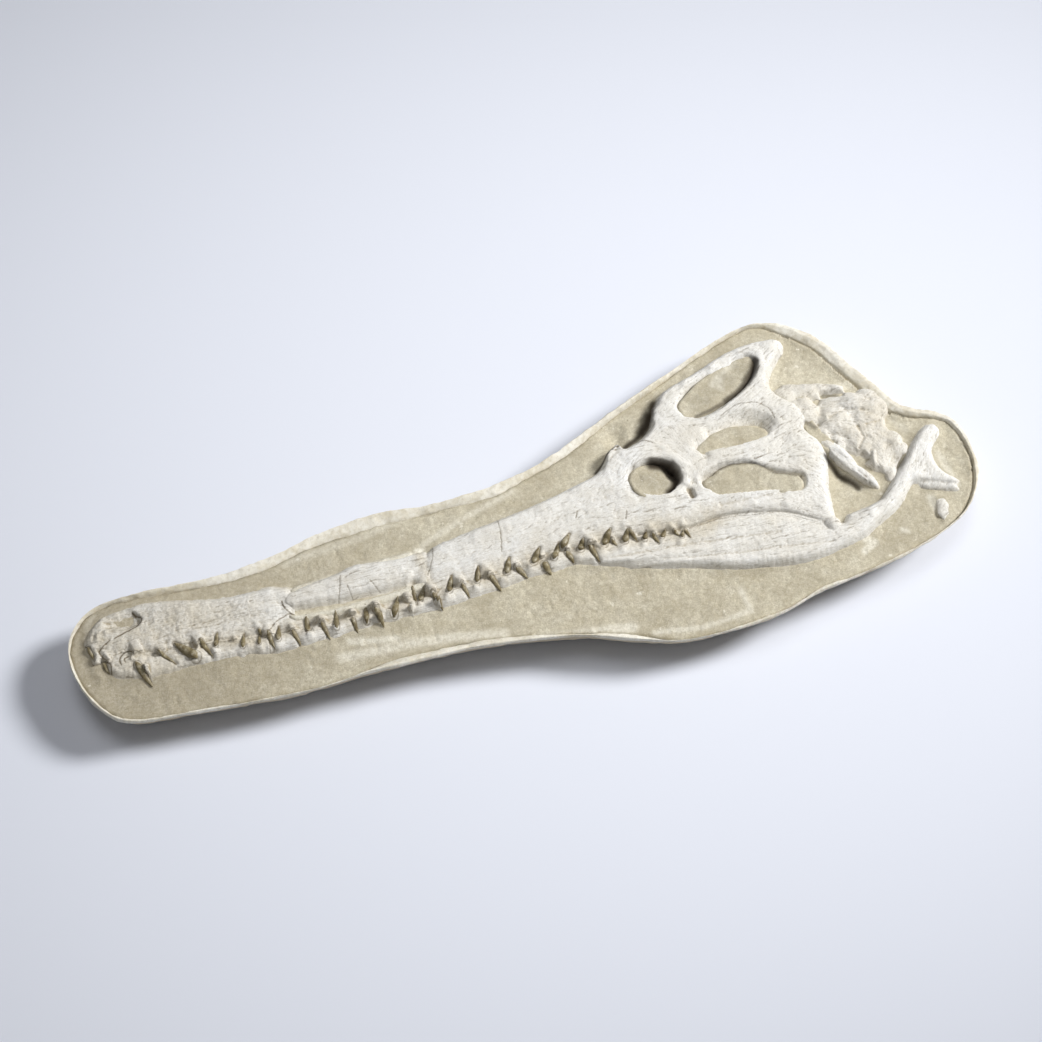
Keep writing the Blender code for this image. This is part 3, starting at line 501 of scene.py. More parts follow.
def strongest(places, lines):
    """How strongly the nearest of these lines marks each place, from 0 to 1."""
    found = np.zeros(len(places))
    for points, half_width, strength in lines:
        mark = strength * np.exp(-(reach_of(places, points) / half_width) ** 3)
        found = np.maximum(found, mark)
    return found


def floor_below(tree, places):
    """The height of what lies under each place, in millimetres, and -1 where nothing does."""
    found = np.full(len(places), -1.0)
    down = Vector((0, 0, -1))
    for i, (x, y) in enumerate(places[:, :2]):
        hit = tree.ray_cast(Vector((x * MM, y * MM, 0.2)), down)[0]
        if hit:
            found[i] = hit.z / MM
    return found


def inset_of(mask, reach):
    """How far inside the mask each cell of the plan lies, in millimetres, up to a reach."""
    inset = np.where(mask, float(reach), 0.0)
    for _ in range(reach):
        for turn in ((0, 1), (0, -1), (1, 0), (-1, 0), (1, 1), (1, -1), (-1, 1), (-1, -1)):
            inset = np.minimum(inset, np.roll(inset, turn, (0, 1)) + math.hypot(*turn))
    return inset


def inside_outline(outline):
    """The cells of the plan that lie inside a closed outline."""
    x, y = plan_cells.T
    inside = np.zeros(len(x), bool)
    for (ax, ay), (bx, by) in zip(outline, outline[1:] + outline[:1]):
        if ay != by:
            inside ^= ((ay > y) != (by > y)) & (x < ax + (bx - ax) * (y - ay) / (by - ay))
    return inside.reshape(plan_shape)


def floor_in_openings(places, outlines, ease):
    """How much of each place is in an opening, from 0 to 1, and the height of the rock there."""
    share = np.zeros(len(places))
    floor = np.zeros(len(places))
    for outline, (_, (x, y), height, slope_x, slope_y) in zip(outlines, OPENINGS):
        inside = read_map(soften(outline, ease), places)
        level = height + slope_x * (places[:, 0] - x) + slope_y * (places[:, 1] - y)
        floor = np.where(inside > share, level, floor)
        share = np.maximum(share, inside)
    return share, floor


# The plan is a chart of the whole slab with a cell for each millimetre
plan_shape = PLAN_SIZE[::-1]
down, across = np.indices(plan_shape)
plan_cells = np.column_stack(
    [across.ravel() + PLAN_LOW[0] + 0.5, down.ravel() + PLAN_LOW[1] + 0.5])
solids_tree = tree_of([item for name, item in frame["nodes"].items()
                       if name not in ("plaster_jacket", "rock_slab")])
bones_plan = floor_below(solids_tree, plan_cells).reshape(plan_shape)
openings = [inside_outline(outline) for outline, *_ in OPENINGS]
broad_openings = [inset_of(~opening, 9) < 9 for opening in openings]
ledges = [(inside_outline(outline), level) for outline, level in LEDGES]
beyond_bones = 12.0 - inset_of(bones_plan < 0, 12)

tray = tree_of([frame["nodes"]["plaster_jacket"]])
columns, rows = (int(round((cad_high[k] - cad_low[k]) / MM / ROCK_CELL)) for k in (0, 1))
select_only()
bpy.ops.mesh.primitive_grid_add(x_subdivisions=columns, y_subdivisions=rows, size=1.0)
rock = bpy.context.object
rock.name = "rock_face"
places = places_of(rock) * (columns * ROCK_CELL * MM, rows * ROCK_CELL * MM, 0.0)
put_places(rock, places)
jacket_top = floor_below(tray, places)
outside = np.nonzero((jacket_top <= 5.0) | (jacket_top >= 60.5))[0]
with open_mesh(rock) as shape:
    shape.verts.ensure_lookup_table()
    bmesh.ops.delete(shape, geom=[shape.verts[i] for i in outside], context="VERTS")
    shape.verts.ensure_lookup_table()
    edge = [corner.index for corner in shape.verts if corner.is_boundary]
# The edge follows the inside of the rim as a smooth line
places = places_of(rock)
around = finder(places)
ways = np.zeros((len(edge), 2))
for k, i in enumerate(edge):
    near = np.mean([hit[0][:] for hit in around.find_range(places[i], 13.0)], axis=0)
    ways[k] = (places[i] - near)[:2] / np.linalg.norm((places[i] - near)[:2])
starts = places[edge, :2]
settled = np.zeros(len(edge), bool)
for step in np.arange(-2.0, 5.0, 0.2):
    level = floor_below(tray, starts + ways * step)
    reached = ~settled & (level > RIM_SEAM + 1.8 * behind_skull(starts))
    places[np.array(edge)[reached], :2] = starts[reached] + ways[reached] * step
    settled |= reached
jacket_top = floor_below(tray, places)
flat = places * (1, 1, 0)
top = ROCK_TOP + 0.9 * swell(flat, 70, 11) + 0.7 * swell(flat, 22, 12) + 0.5 * swell(flat, 9, 13)
rising = 2.6 * (read_map(soften(beyond_bones, 6), places) / 12.0) ** 2
top += rising
for x, y, across, along, rise in ROCK_SWELLS:
    away = ((places[:, 0] - x) / across) ** 2 + ((places[:, 1] - y) / along) ** 2
    top += rise * np.exp(-away)
for inside, level in ledges:
    share = read_map(soften(inside, 5), places)
    top = top + np.clip(level - top, 0.0, None) * unit(share * 1.5)
share, level = floor_in_openings(places, broad_openings, 6)
top += (level - ROCK_TOP - rising) * share
top += 0.45 * np.abs(swell(flat, 4.5, 14)) + 0.2 * swell(flat, 2.6, 15)
top -= 2.4 * unit(swell(flat, 6.5, 16) - 0.5)
at_end = behind_skull(places)
top += 2.2 * at_end * unit((jacket_top - 40.0) / 20.0)
dive = unit((jacket_top - 60.6 - 1.8 * at_end + 0.8 * swell(flat, 9, 17)) / 1.2)
top = top * (1.0 - dive) + np.minimum(top, 58.0) * dive
places[:, 2] = np.maximum(top, ROCK_BOTTOM + 1.5)
put_places(rock, places)
select_only(rock)
with edit_mode("DESELECT"):
    bpy.ops.mesh.select_mode(type="EDGE")
    bpy.ops.mesh.select_non_manifold(extend=False)
    bpy.ops.mesh.extrude_edges_move(TRANSFORM_OT_translate={"value": (0, 0, -200 * MM)})
places = places_of(rock)
outward = finder(np.column_stack([starts, np.zeros(len(edge))]))
for i in np.nonzero(places[:, 2] < 0.0)[0]:
    nearest = outward.find((places[i, 0], places[i, 1], 0.0))[1]
    places[i] = (*(places[i, :2] - ways[nearest] * 7.0), ROCK_BOTTOM)
put_places(rock, places)
fill_loops(rock, ROCK_BOTTOM - 1, ROCK_BOTTOM + 1)
bpy.ops.object.shade_smooth()
store(rock, "gloom", strongest(places_of(rock), PAINTED_SHADE))
store(rock, "smear", strongest(places_of(rock), SMEARS))

limestone, spot, shader = new_finish("limestone")
cloud = spot.spots(90, (0.36, 0.64), detail=5, rough=0.55)
blotch = spot.spots(14, (0.40, 0.66), detail=6, rough=0.65)
grit = spot.spots(1.6, (0.34, 0.68), detail=4, rough=0.75)
fleck = spot.spots(11, (0.66, 0.72), detail=5, rough=0.6, shift=0.3)
speck = spot.spots(6, (0.70, 0.76), detail=4, rough=0.6, shift=0.7)
drift = spot.spots(38, (0.44, 0.6), detail=6, rough=0.6, shift=0.5)
clump = spot.spots(5, (0.4, 0.62), detail=3, rough=0.6, shift=0.9)
patchy = spot.spots(5, (0.36, 0.58), detail=6, rough=0.7, shift=0.2)
snout_end = (-0.35 - spot.axis(0) * 2.2).ramp(0.0, 1.0)
tint = coats(
    (226, 220, 199), (cloud, (210, 202, 179)), (blotch * 0.6, (232, 227, 210)),
    (drift * 0.45, (178, 169, 146)), (clump * (0.42 + 0.3 * snout_end), (168, 157, 133)),
    (snout_end * 0.6, (172, 162, 143)), ((1.0 - grit) * 0.56, (152, 141, 117)),
    (fleck * 0.75, (234, 229, 214)), (speck * 0.7, (112, 100, 76)),
    (spot.painted("smear") * (0.3 + 0.7 * patchy), (240, 236, 222)),
    # Painted shade in the rock's deep hollows, under overhangs and along some cracks
    (spot.painted("gloom") * 0.96, (46, 36, 22)))
connect(shader, tint, 0.95, spot.spots(2.2, detail=5, rough=0.75).bump(0.7, 0.0018))
set_piece(rock, limestone, "rock", "rock_slab")

# THE BONES
# Fossil bone, off-white with a fine lengthwise grain, hairline cracks and pits, and worn where it
# was thin. Each mass of bone is carved in relief from its solids, whose plain crowns are taken off
# first, so that finer teeth can stand in their place.
SHIFT = (1.665, 8.659)
BURIED = 57.0
LUMP_MIDDLE = 58.0
MAP_CELL = 0.5
FLOW_CELL = 4.0
SHOULDER = 12
CROWN_SIDES = 14
CROWN_RINGS = 9
CRACK_COUNT = 15000
PIT_COUNT = 26000
# Line where the jaws meet, then the solids' crowns: x, length, lean of the point in degrees
JAW_LINE = [
    (-545, -55), (-532, -50), (-518, -50), (-490, -60), (-428, -64), (-367, -72), (-305, -76),
    (-241, -75), (-177, -73), (-112, -72), (-46, -69), (21, -61), (86, -63), (150, -69), (195, -74),
    (235, -70), (268, -73), (317, -84), (345, -98), (364, -110), (386, -114),
]
UPPER_SOLIDS = [
    (-556, 22, -88), (-543, 18, -94), (-503, 38, -78), (-474, 24, -60), (-427, 26, -69),
    (-385, 13, -79), (-344, 22, -82), (-313, 16, -75), (-276, 22, -81), (-237, 20, -89),
    (-206, 24, -85), (-166, 23, -87), (-135, 25, -76), (-97, 20, -76), (-59, 21, -71),
    (-23, 17, -68), (11, 15, -75), (44, 14, -82), (76, 27, -85), (104, 10, -80), (130, 11, -80),
    (156, 10, -74), (180, 8, -83),
]
LOWER_SOLIDS = [
    (-521, 12, 79), (-443, 26, 124), (-410, 20, 76), (-367, 18, 76), (-333, 12, 71), (-294, 20, 87),
    (-260, 20, 79), (-222, 18, 82), (-188, 21, 62), (-150, 19, 60), (-114, 18, 67), (-77, 19, 67),
    (-40, 21, 63), (-2, 18, 55), (34, 19, 45), (60, 14, 63), (92, 18, 57), (120, 15, 78),
    (144, 11, 80), (170, 10, 100),
]
# The teeth as they stand: x and y of the root, length, lean of the point, thickness
UPPER_TEETH = [
    (-560, -24, 19, -77, 2.8), (-546, -48, 16, -75, 2.8), (-506, -63, 33, -70, 4.8),
    (-476, -54, 25, -52, 2.5), (-424, -54, 24, -67, 3.2), (-352, -57, 8, -81, 2.2),
    (-342, -65, 21, -84, 3.2), (-312, -71, 19, -73, 3.2), (-275, -70, 21, -77, 3.2),
    (-237, -73, 17, -84, 3.2), (-206, -68, 24, -78, 4.4), (-155, -50, 26, -91, 2.5),
    (-132, -68, 22, -72, 3.5), (-94, -65, 17, -75, 2.9), (-57, -62, 22, -68, 4.1),
    (-22, -60, 17, -58, 4.4), (12, -62, 16, -69, 4.8), (44, -56, 15, -69, 4.1),
    (74, -54, 24, -76, 3.8), (103, -55, 9, -64, 2.5), (127, -50, 15, -64, 2.9),
    (155, -61, 14, -76, 2.9), (182, -64, 9, -63, 2.2), (196, -66, 12, -76, 2.5),
]
LOWER_TEETH = [
    (-435, -71, 33, 131, 7.0), (-408, -62, 16, 72, 3.2), (-376, -73, 16, 76, 3.2),
    (-356, -75, 13, 78, 2.5), (-332, -75, 17, 75, 3.8), (-294, -72, 22, 84, 3.8),
    (-259, -79, 25, 78, 3.8), (-221, -80, 24, 80, 3.8), (-186, -80, 25, 66, 4.8),
    (-150, -68, 19, 58, 4.1), (-112, -67, 19, 68, 4.4), (-75, -63, 18, 69, 4.1),
    (-36, -61, 18, 65, 4.8), (0, -57, 19, 52, 5.1), (26, -59, 20, 56, 4.4), (40, -48, 19, 48, 5.1),
    (61, -56, 13, 58, 4.8), (92, -57, 20, 51, 5.1), (118, -60, 15, 57, 4.8), (143, -64, 9, 63, 3.8),
    (165, -67, 10, 50, 3.2), (189, -74, 10, 61, 2.9),
]
# Bone carried over from one solid to the next: an outline of each
BRIDGES = [
    [(-350, 2), (-325, 2), (-304, -5), (-296, -14), (-300, -48), (-318, -58), (-350, -54)],
    [(366, -90), (390, -95), (393, -122), (366, -122)], [(500, -66), (532, -79), (556, -88),
    (554, -103), (500, -88)], [(384, 82), (404, 84), (404, 42), (424, 0), (404, -12), (384, 20)],
    [(-152, -2), (-124, 0), (-124, -56), (-152, -56)],
]
# Where the skull's edge drops steeply to a hollow: x, y, radius
STEEP_EDGES = [
    (152, 94, 22), (128, 68, 12), (190, 112, 20), (408, -20, 14), (190, 16, 36), (392, -30, 16),
]
# How the grain of the bone runs, as lines along it
GRAIN_LINES = [
    [(-560, -10), (-350, -10), (-150, 0), (-50, 14), (40, 32), (110, 52)], [(-555, -35),
    (-350, -35), (-150, -35), (0, -14), (120, 20)], [(-540, -46), (-300, -66), (-100, -62),
    (0, -54), (100, -55), (200, -62), (320, -72), (388, -102)], [(-540, -66), (-300, -90), (0, -80),
    (100, -90), (250, -132), (360, -144), (440, -120), (500, -76), (530, -34), (556, 0)],
    [(220, -100), (300, -105), (400, -104), (450, -96), (500, -50)], [(138, -6), (160, -14),
    (188, -18), (212, -8), (222, 14), (212, 34), (188, 46), (160, 44), (142, 28)], [(112, 44),
    (141, 72), (152, 70), (172, 79), (193, 97), (208, 117), (236, 142)], [(230, 140), (270, 152),
    (330, 172), (395, 180)], [(225, 84), (270, 82), (312, 98), (350, 126), (400, 168)], [(236, 20),
    (280, 16), (330, 22), (366, 38), (400, 44)], [(140, -38), (200, -36), (240, -44), (300, -54),
    (350, -66), (386, -92)], [(350, -30), (378, -60), (390, -98)], [(222, -16), (238, 30),
    (228, 78)], [(405, 0), (440, -40), (452, -60)],
]
# The larger cracks and sutures
CRACKS = [
    [(-564, -19), (-559, -25), (-560, -43), (-554, -51)], [(-549, -32), (-544, -44), (-538, -54),
    (-540, -68)], [(-532, -22), (-549, -32)], [(-499, 10), (-494, 4), (-489, -3), (-494, -10),
    (-504, -14), (-516, -18), (-527, -21)], [(-525, -58), (-526, -50), (-521, -43), (-512, -42),
    (-507, -48)], [(-520, -55), (-520, -50), (-515, -48)], [(-316, -25), (-315, -34), (-309, -43),
    (-300, -48)], [(-238, -11), (-243, -30), (-250, -48)], [(-233, -27), (-230, -45)], [(-204, -27),
    (-199, -38), (-195, -44)], [(-116, 2), (-121, -18), (-133, -40)], [(-28, 16), (-30, -10),
    (-35, -34)], [(72, -4), (67, -15)], [(132, -22), (127, -34)], [(-307, -43), (-319, -47),
    (-329, -51), (-337, -59), (-343, -69), (-344, -81), (-346, -93)], [(172, 71), (183, 68),
    (194, 60)], [(288, 78), (308, 86), (325, 87), (342, 82), (352, 72), (355, 58)],
]


def way_of(degrees):
    return np.array((math.cos(math.radians(degrees)), math.sin(math.radians(degrees))))


def crown_lines(row, tree, shift=(0.0, 0.0)):
    """Each crown's length, root, direction, and the height of what lies under its middle line."""
    found = []
    for x, y, length, lean, *_ in row:
        way = way_of(lean)
        root = np.array((x, y), float) + shift
        shares = np.array((-0.3, 0.05, 0.25, 0.45, 0.7, 0.97))
        top = floor_below(tree, root + np.outer(shares * length, way))
        found.append((length, root, way, shares, np.maximum(top, 60.5)))
    return found


def solid_crowns(row, offset):
    """The crowns of the solids, which are measured from the line where the jaws meet."""
    line = smooth_line(JAW_LINE, 12.0)
    rooted = []
    for x, length, lean in row:
        y = float(np.interp(x, line[:, 0], line[:, 1]))
        rooted.append((*(np.array((x, y)) + length * offset * way_of(lean)), length, lean))
    return crown_lines(rooted, solids_tree, SHIFT)


def taper(crown, profile, sink, squeeze=1.0, curl=0.0):
    """A tapered round form along a crown's middle line: shares of its length, and radii."""
    length, root, way, shares, top = crown
    select_only()
    bpy.ops.mesh.primitive_cylinder_add(vertices=CROWN_SIDES, radius=1.0, depth=2.0)
    piece = bpy.context.object
    with edit_mode("DESELECT"):
        shape = bmesh.from_edit_mesh(piece.data)
        for edge in shape.edges:
            edge.select = abs(edge.verts[0].co.z - edge.verts[1].co.z) > 1.0
        bmesh.update_edit_mesh(piece.data)
        bpy.ops.mesh.subdivide(number_cuts=CROWN_RINGS)
    across, over, up = (places_of(piece) * MM).T
    places, radii = np.array(profile).T
    share = places[0] + (places[-1] - places[0]) * (up + 1.0) / 2.0
    radius = np.interp(share, places, radii)
    side = np.array((way[1], -way[0]))
    spread = root + np.outer(share * length, way) + np.outer(
        across * radius + curl * length * share ** 2, side)
    level = np.interp(share, shares, top) - sink + over * radius * squeeze
    put_places(piece, np.column_stack([spread, level]))
    with open_mesh(piece) as shape:
        bmesh.ops.recalc_face_normals(shape, faces=shape.faces)
    return piece


def join_pieces(name, *pieces):
    select_only(*pieces)
    bpy.ops.object.join()
    pieces[0].name = pieces[0].data.name = name
    return pieces[0]


def without_crowns(piece, crowns):
    """Takes the rough crowns off a piece, and leaves a socket where each went in."""
    group = bpy.data.collections.new("cutters")
    for crown in crowns:
        base = min(max(2.2, crown[0] * 0.21), 5.2)
        size = base * 1.3
        profile = [(-0.04, size * 1.1), (0.05, size * 1.2), (0.45, size * 0.88), (1.08, size * 0.4)]
        group.objects.link(taper(crown, profile, base * 0.95))
    add_modifier(piece, "BOOLEAN", operation="DIFFERENCE", operand_type="COLLECTION",
                 collection=group, solver="EXACT")
    for cutter in list(group.objects):
        bpy.data.objects.remove(cutter)
    bpy.data.collections.remove(group)
    with open_mesh(piece) as shape:
        left = set(shape.verts)
        scraps = []
        while left:
            island = [left.pop()]
            for corner in island:
                for edge in corner.link_edges:
                    other = edge.other_vert(corner)
                    if other in left:
                        left.discard(other)
                        island.append(other)
            spans = np.ptp([corner.co for corner in island], axis=0)
            if spans.max() < 0.016:
                scraps += island
        bmesh.ops.delete(shape, geom=scraps, context="VERTS")


def neighbours_mean(piece, values, rounds, held=False):
    """Values at the points, averaged over their neighbours a number of times."""
    ends = np.empty(len(piece.data.edges) * 2, np.int64)
    piece.data.edges.foreach_get("vertices", ends)
    one, other = ends[0::2], ends[1::2]
    count = len(piece.data.vertices)
    links = np.maximum(np.bincount(one, minlength=count) + np.bincount(other, minlength=count), 1)
    for _ in range(rounds):
        total = np.bincount(one, values[other], count) + np.bincount(other, values[one], count)
        values = np.where(held, values, 0.5 * values + 0.5 * total / links)
    return values


def carve_ready(piece, cell, rounds=8, ease=22):
    """Welds a piece's solids into one fine surface, and rounds its edges and shoulders."""
    put_places(piece, places_of(piece) + normals_of(piece) * (0.8, 0.8, 0.25))
    add_modifier(piece, "REMESH", mode="VOXEL", voxel_size=cell * MM)
    add_modifier(piece, "SMOOTH", factor=0.5, iterations=rounds)
    with open_mesh(piece) as shape:
        deep = [face for face in shape.faces if max(v.co.z for v in face.verts) / MM < BURIED]
        bmesh.ops.delete(shape, geom=deep, context="FACES")
        for corner in shape.verts:
            if corner.is_boundary:
                corner.co.z = BURIED * MM
    places = places_of(piece)
    z = places[:, 2]
    places[:, 2] = neighbours_mean(piece, z, ease, z < BURIED + 1.5)
    put_places(piece, places)
    fill_loops(piece, BURIED - 1, BURIED + 1)


def round_shoulders(piece):
    """Brings a piece down towards the outline of the bones, and fills the grooves between them."""
    places = places_of(piece)
    z = places[:, 2]
    inset = read_map(bones_inset, places)
    share = np.sin(math.pi / 2 * unit((inset + 0.6) / SHOULDER)) ** 0.85
    filled = read_map(closed_plan, places) - 1.2
    rising = (z > BURIED + 1.5) & (inset > 5.0)
    z[:] = np.where(rising, np.maximum(z, filled), z)
    z -= np.clip(z - 60.0, 0.0, None) * (1.0 - share)
    inside, level = floor_in_openings(places, openings, 2)
    inside = unit((inside - 0.3) / 0.4) * (z > BURIED + 1.5)
    z -= np.clip(z - level + 3.0, 0.0, None) * inside
    put_places(piece, places)


def grain_flow():
    """The direction of the grain over the whole plan, as the cosine and sine of twice its angle."""
    xs, ys = (np.arange(low, low + size, FLOW_CELL) for low, size in zip(PLAN_LOW, PLAN_SIZE))
    grid = np.stack(np.meshgrid(xs, ys), axis=-1)
    pull = np.zeros(grid.shape)
    for line in GRAIN_LINES:
        path = smooth_line(line, 9.0)
        way = np.diff(path, axis=0)
        way /= np.linalg.norm(way, axis=1)[:, None]
        for middle, (cx, cy) in zip((path[:-1] + path[1:]) / 2, way):
            weight = 1.0 / (np.sum((grid - middle) ** 2, axis=-1) + 40.0) ** 2
            double = 2 * math.atan2(cy, cx)
            pull[..., 0] += weight * math.cos(double)
            pull[..., 1] += weight * math.sin(double)
    return pull / np.linalg.norm(pull, axis=-1, keepdims=True)


def grain_angle(places):
    cos, sin = (read_map(flow[..., k], places, FLOW_CELL) for k in (0, 1))
    return np.arctan2(sin, cos) / 2


def trace_cracks(seeds, lengths, wander):
    """Lines that follow the grain from each seed: places on them, and the seed of each."""
    place = seeds.copy()
    lean = chance.normal(0.0, wander, len(seeds))
    way = np.where(chance.random(len(seeds)) < 0.5, 0.0, math.pi)
    drawn = []
    for step in range(int(lengths.max() / MAP_CELL)):
        lean = lean * 0.97 + chance.normal(0.0, wander * 0.3, len(seeds))
        angle = grain_angle(place) + way + lean
        place = place + MAP_CELL * np.stack([np.cos(angle), np.sin(angle)], axis=1)
        live = step * MAP_CELL < lengths
        drawn.append(np.column_stack([place[live], live.nonzero()[0]]))
    return np.concatenate(drawn)


def draw_dots(chart, places, strength):
    row = ((places[:, 1] - PLAN_LOW[1]) / MAP_CELL).astype(int)
    column = ((places[:, 0] - PLAN_LOW[0]) / MAP_CELL).astype(int)
    inside = (row >= 0) & (row < chart.shape[0]) & (column >= 0) & (column < chart.shape[1])
    strength = np.broadcast_to(strength, len(places))
    np.maximum.at(chart, (row[inside], column[inside]), strength[inside])


def crown_shade_rings(places, crack):
    """Adds painted shade along the outline of each tooth, where its shadow falls on the bone, to
    the cracks.
    """
    for *root, length, lean, size in UPPER_TEETH + LOWER_TEETH:
        root = np.array(root, float)
        tip = root + length * way_of(lean)
        near = np.abs(places[:, :2] - (root + tip) / 2).max(axis=1) < length
        span = unit((places[near, :2] - root) @ (tip - root) / length ** 2)
        apart = np.linalg.norm(places[near, :2] - root - span[:, None] * (tip - root), axis=1)
        ring = unit(1.0 - np.abs(apart - size * (1.05 - 0.75 * span)) / 1.3)
        crack[near] = np.maximum(crack[near], 0.8 * ring)


def carve(piece, strokes, seed, ceiling, pitted=0.5, cream=0.0, ragged=0.0):
    """Gives a piece its ridges and hollows, its worn surface, its cracks and its stains, and the
    painted shade in its hollows, round its teeth and on its shaded walls.
    """
    places = places_of(piece)
    normals = normals_of(piece)
    x, y, z = places.T
    facing = unit((normals[:, 2] - 0.15) / 0.5) * (z > BURIED + 1)
    rise = np.zeros(len(places))
    for points, width, height in strokes:
        low = np.min(points, axis=0) - width
        high = np.max(points, axis=0) + width
        near = np.all((places[:, :2] > low) & (places[:, :2] < high), axis=1)
        reach = unit(reach_of(places[near], points) / width)
        rise[near] += height * (0.5 + 0.5 * np.cos(math.pi * reach))
    flat = places * (1, 1, 0.4)
    rise += (0.9 * swell(flat, 34, seed) + 0.5 * swell(flat, 13, seed + 1)
             + 0.35 * swell(flat, 5.5, seed + 2))
    rise += 0.25 * swell(flat, 2.4, seed + 3)
    rise += unit((-250.0 - x) / 150.0) * (
        0.55 * swell(flat, 4, seed + 10) + 0.45 * swell(flat, 2.2, seed + 11)
        - 0.5 * np.abs(swell(flat, 8, seed + 12)))
    if ragged:
        rise += ragged * (
            swell(flat, 17, seed + 6) + 0.9 * swell(flat, 8, seed + 7)
            - 1.3 * np.abs(swell(flat, 11, seed + 8)) + 0.7 * swell(flat, 4, seed + 9))
    crack = read_map(crack_map, places, MAP_CELL)
    pit = read_map(pit_map, places, MAP_CELL) * (0.25 + pitted * unit((x - 150) / 120))
    rise -= 0.7 * np.minimum(crack, 1.4) + 0.8 * pit
    # The rings round the teeth are painted shade
    crown_shade_rings(places, crack)
    angle = grain_angle(places)
    z += facing * rise
    z -= 0.6 * np.clip(z - ceiling + 2.0, 0.0, None)
    z[:] = np.minimum(z, ceiling)
    side = 0.8 * swell(places, 9, seed + 4) + 0.5 * swell(places, 3.5, seed + 5)
    side = unit((z - BURIED) / 3.0) * (1.0 - facing) * side
    places[:, :2] += normals[:, :2] * side[:, None]
    put_places(piece, places)
    mean = np.column_stack([neighbours_mean(piece, places[:, k], 12) for k in (0, 1, 2)])
    # Painted shade, darker where the surface is hollow
    hollow = np.sum((mean - places) * normals_of(piece), axis=1)
    # The painted shade on the bone lies on its low parts and its steep walls
    lowered = np.maximum(np.clip((80.5 - z) / 4.0, 0.0, 0.3), unit((0.97 - normals[:, 2]) * 4.0))
    stain = np.exp(-(reach_of(places, np.array(JAW_LINE[:16]) + SHIFT) / 17.0) ** 2) * 0.9
    stain = np.maximum(stain, np.clip((-330.0 - x) / 150.0, 0.0, 0.65)) + cream
    plate_gap = [(-137, 4), (-133, -52)]
    stain = np.maximum(stain, 0.9 * np.exp(-(reach_of(places, plate_gap) / 8.0) ** 2))
    # Below 66 mm, at the foot of the walls, the bone is tinted darker: painted shade where the
    # walls meet the rock
    stain = np.maximum(stain, unit((66.0 - z) / 7.0) * 0.6)
    turned = (angle / (math.pi / 6)) % 6.0
    parts = [unit(1.0 - np.abs((turned - k + 3.0) % 6.0 - 3.0)) for k in range(6)]
    for name, values in {
            "hollow": unit(hollow * 0.9), "gloom": strongest(places, PAINTED_SHADE) * lowered,
            "crack": unit(crack + pit * 0.7) * (facing > 0.3),
            "stain": unit(stain + 0.25 * swell(flat, 30, 77)),
            "grain_near": np.column_stack(parts[:3]),
            "grain_far": np.column_stack(parts[3:])}.items():
        store(piece, name, values)
    select_only(piece)
    bpy.ops.object.shade_smooth()


flow = grain_flow()
chance = np.random.default_rng(11)
area = np.array(PLAN_SIZE)
crack_map, pit_map = (np.zeros((area / MAP_CELL).astype(int)[::-1], np.float32) for _ in range(2))
seeds = chance.random((CRACK_COUNT, 2)) * area + PLAN_LOW
drawn = trace_cracks(seeds, 3.0 + 22.0 * chance.random(CRACK_COUNT) ** 2.5, 0.16)
depths = 0.07 + 0.5 * chance.random(CRACK_COUNT) ** 4
draw_dots(crack_map, drawn, depths[drawn[:, 2].astype(int)])
for line in CRACKS:
    path = smooth_line(line, 0.4)
    level_path = np.column_stack([path, path[:, 0] * 0])
    path = path + 0.7 * np.column_stack([swell(level_path, 5, k) for k in (91, 92)])
    draw_dots(crack_map, path, 1.4 if line[0][0] < -310 else 0.8)
crack_map = soften(crack_map, 2) * 2.4
pits = chance.random((PIT_COUNT, 2)) * area + PLAN_LOW
draw_dots(pit_map, pits, chance.uniform(0.2, 1.0, PIT_COUNT))
pit_map = soften(pit_map, 3) * 5.0

bone, spot, shader = new_finish("fossil_bone")
fibre = 0.0
for k in range(6):
    share = spot.painted(("grain_near", "grain_far")[k // 3], 1).axis(k % 3)
    placed = spot.node("Mapping", {"vector_type": "TEXTURE"}, {
        0: spot, 1: (0.1 * k, 0.0, 0.0), 2: (0.0, 0.0, k * math.pi / 6), 3: (12.0, 1.0, 1.0)})
    strand = spot.node("TexNoise", {}, {
        "Vector": placed, "Scale": 640.0, "Detail": 4.0, "Roughness": 0.7})
    fibre = fibre + strand * share
cloud = spot.spots(110, (0.4, 0.62), detail=4, rough=0.5)
patch = spot.spots(24, (0.44, 0.66), detail=6, rough=0.62)
mottle = spot.spots(2.2, (0.38, 0.6), detail=5, rough=0.78)
stain = spot.painted("stain")
tint = coats(
    (239, 239, 237), (cloud, (232, 230, 224)), (patch * 0.4, (220, 215, 203)),
    (stain * (0.6 + 0.4 * patch), (206, 197, 177)),
    ((1.0 - mottle) * (0.32 + 0.4 * stain), (184, 175, 158)),
    (fibre.ramp(0.38, 0.48, (1, 0)) * 0.4, (158, 149, 132)),
    # Painted shade in the hollows and creases of the bone
    (spot.painted("hollow").ramp(0.06, 0.6) * 0.7, (146, 131, 102)),
    # Cracks and pits, and painted shade round the teeth
    (spot.painted("crack").ramp(0.1, 0.8) * 0.78, (98, 85, 62)),
    # Painted shade in the deep hollows and on the shaded walls
    (spot.painted("gloom") * 0.96, (46, 36, 22)))
height = fibre * 1.3 + spot.spots(1.1, detail=4, rough=0.7) * 0.5
connect(shader, tint, 0.74, height.bump(0.6, 0.0012))


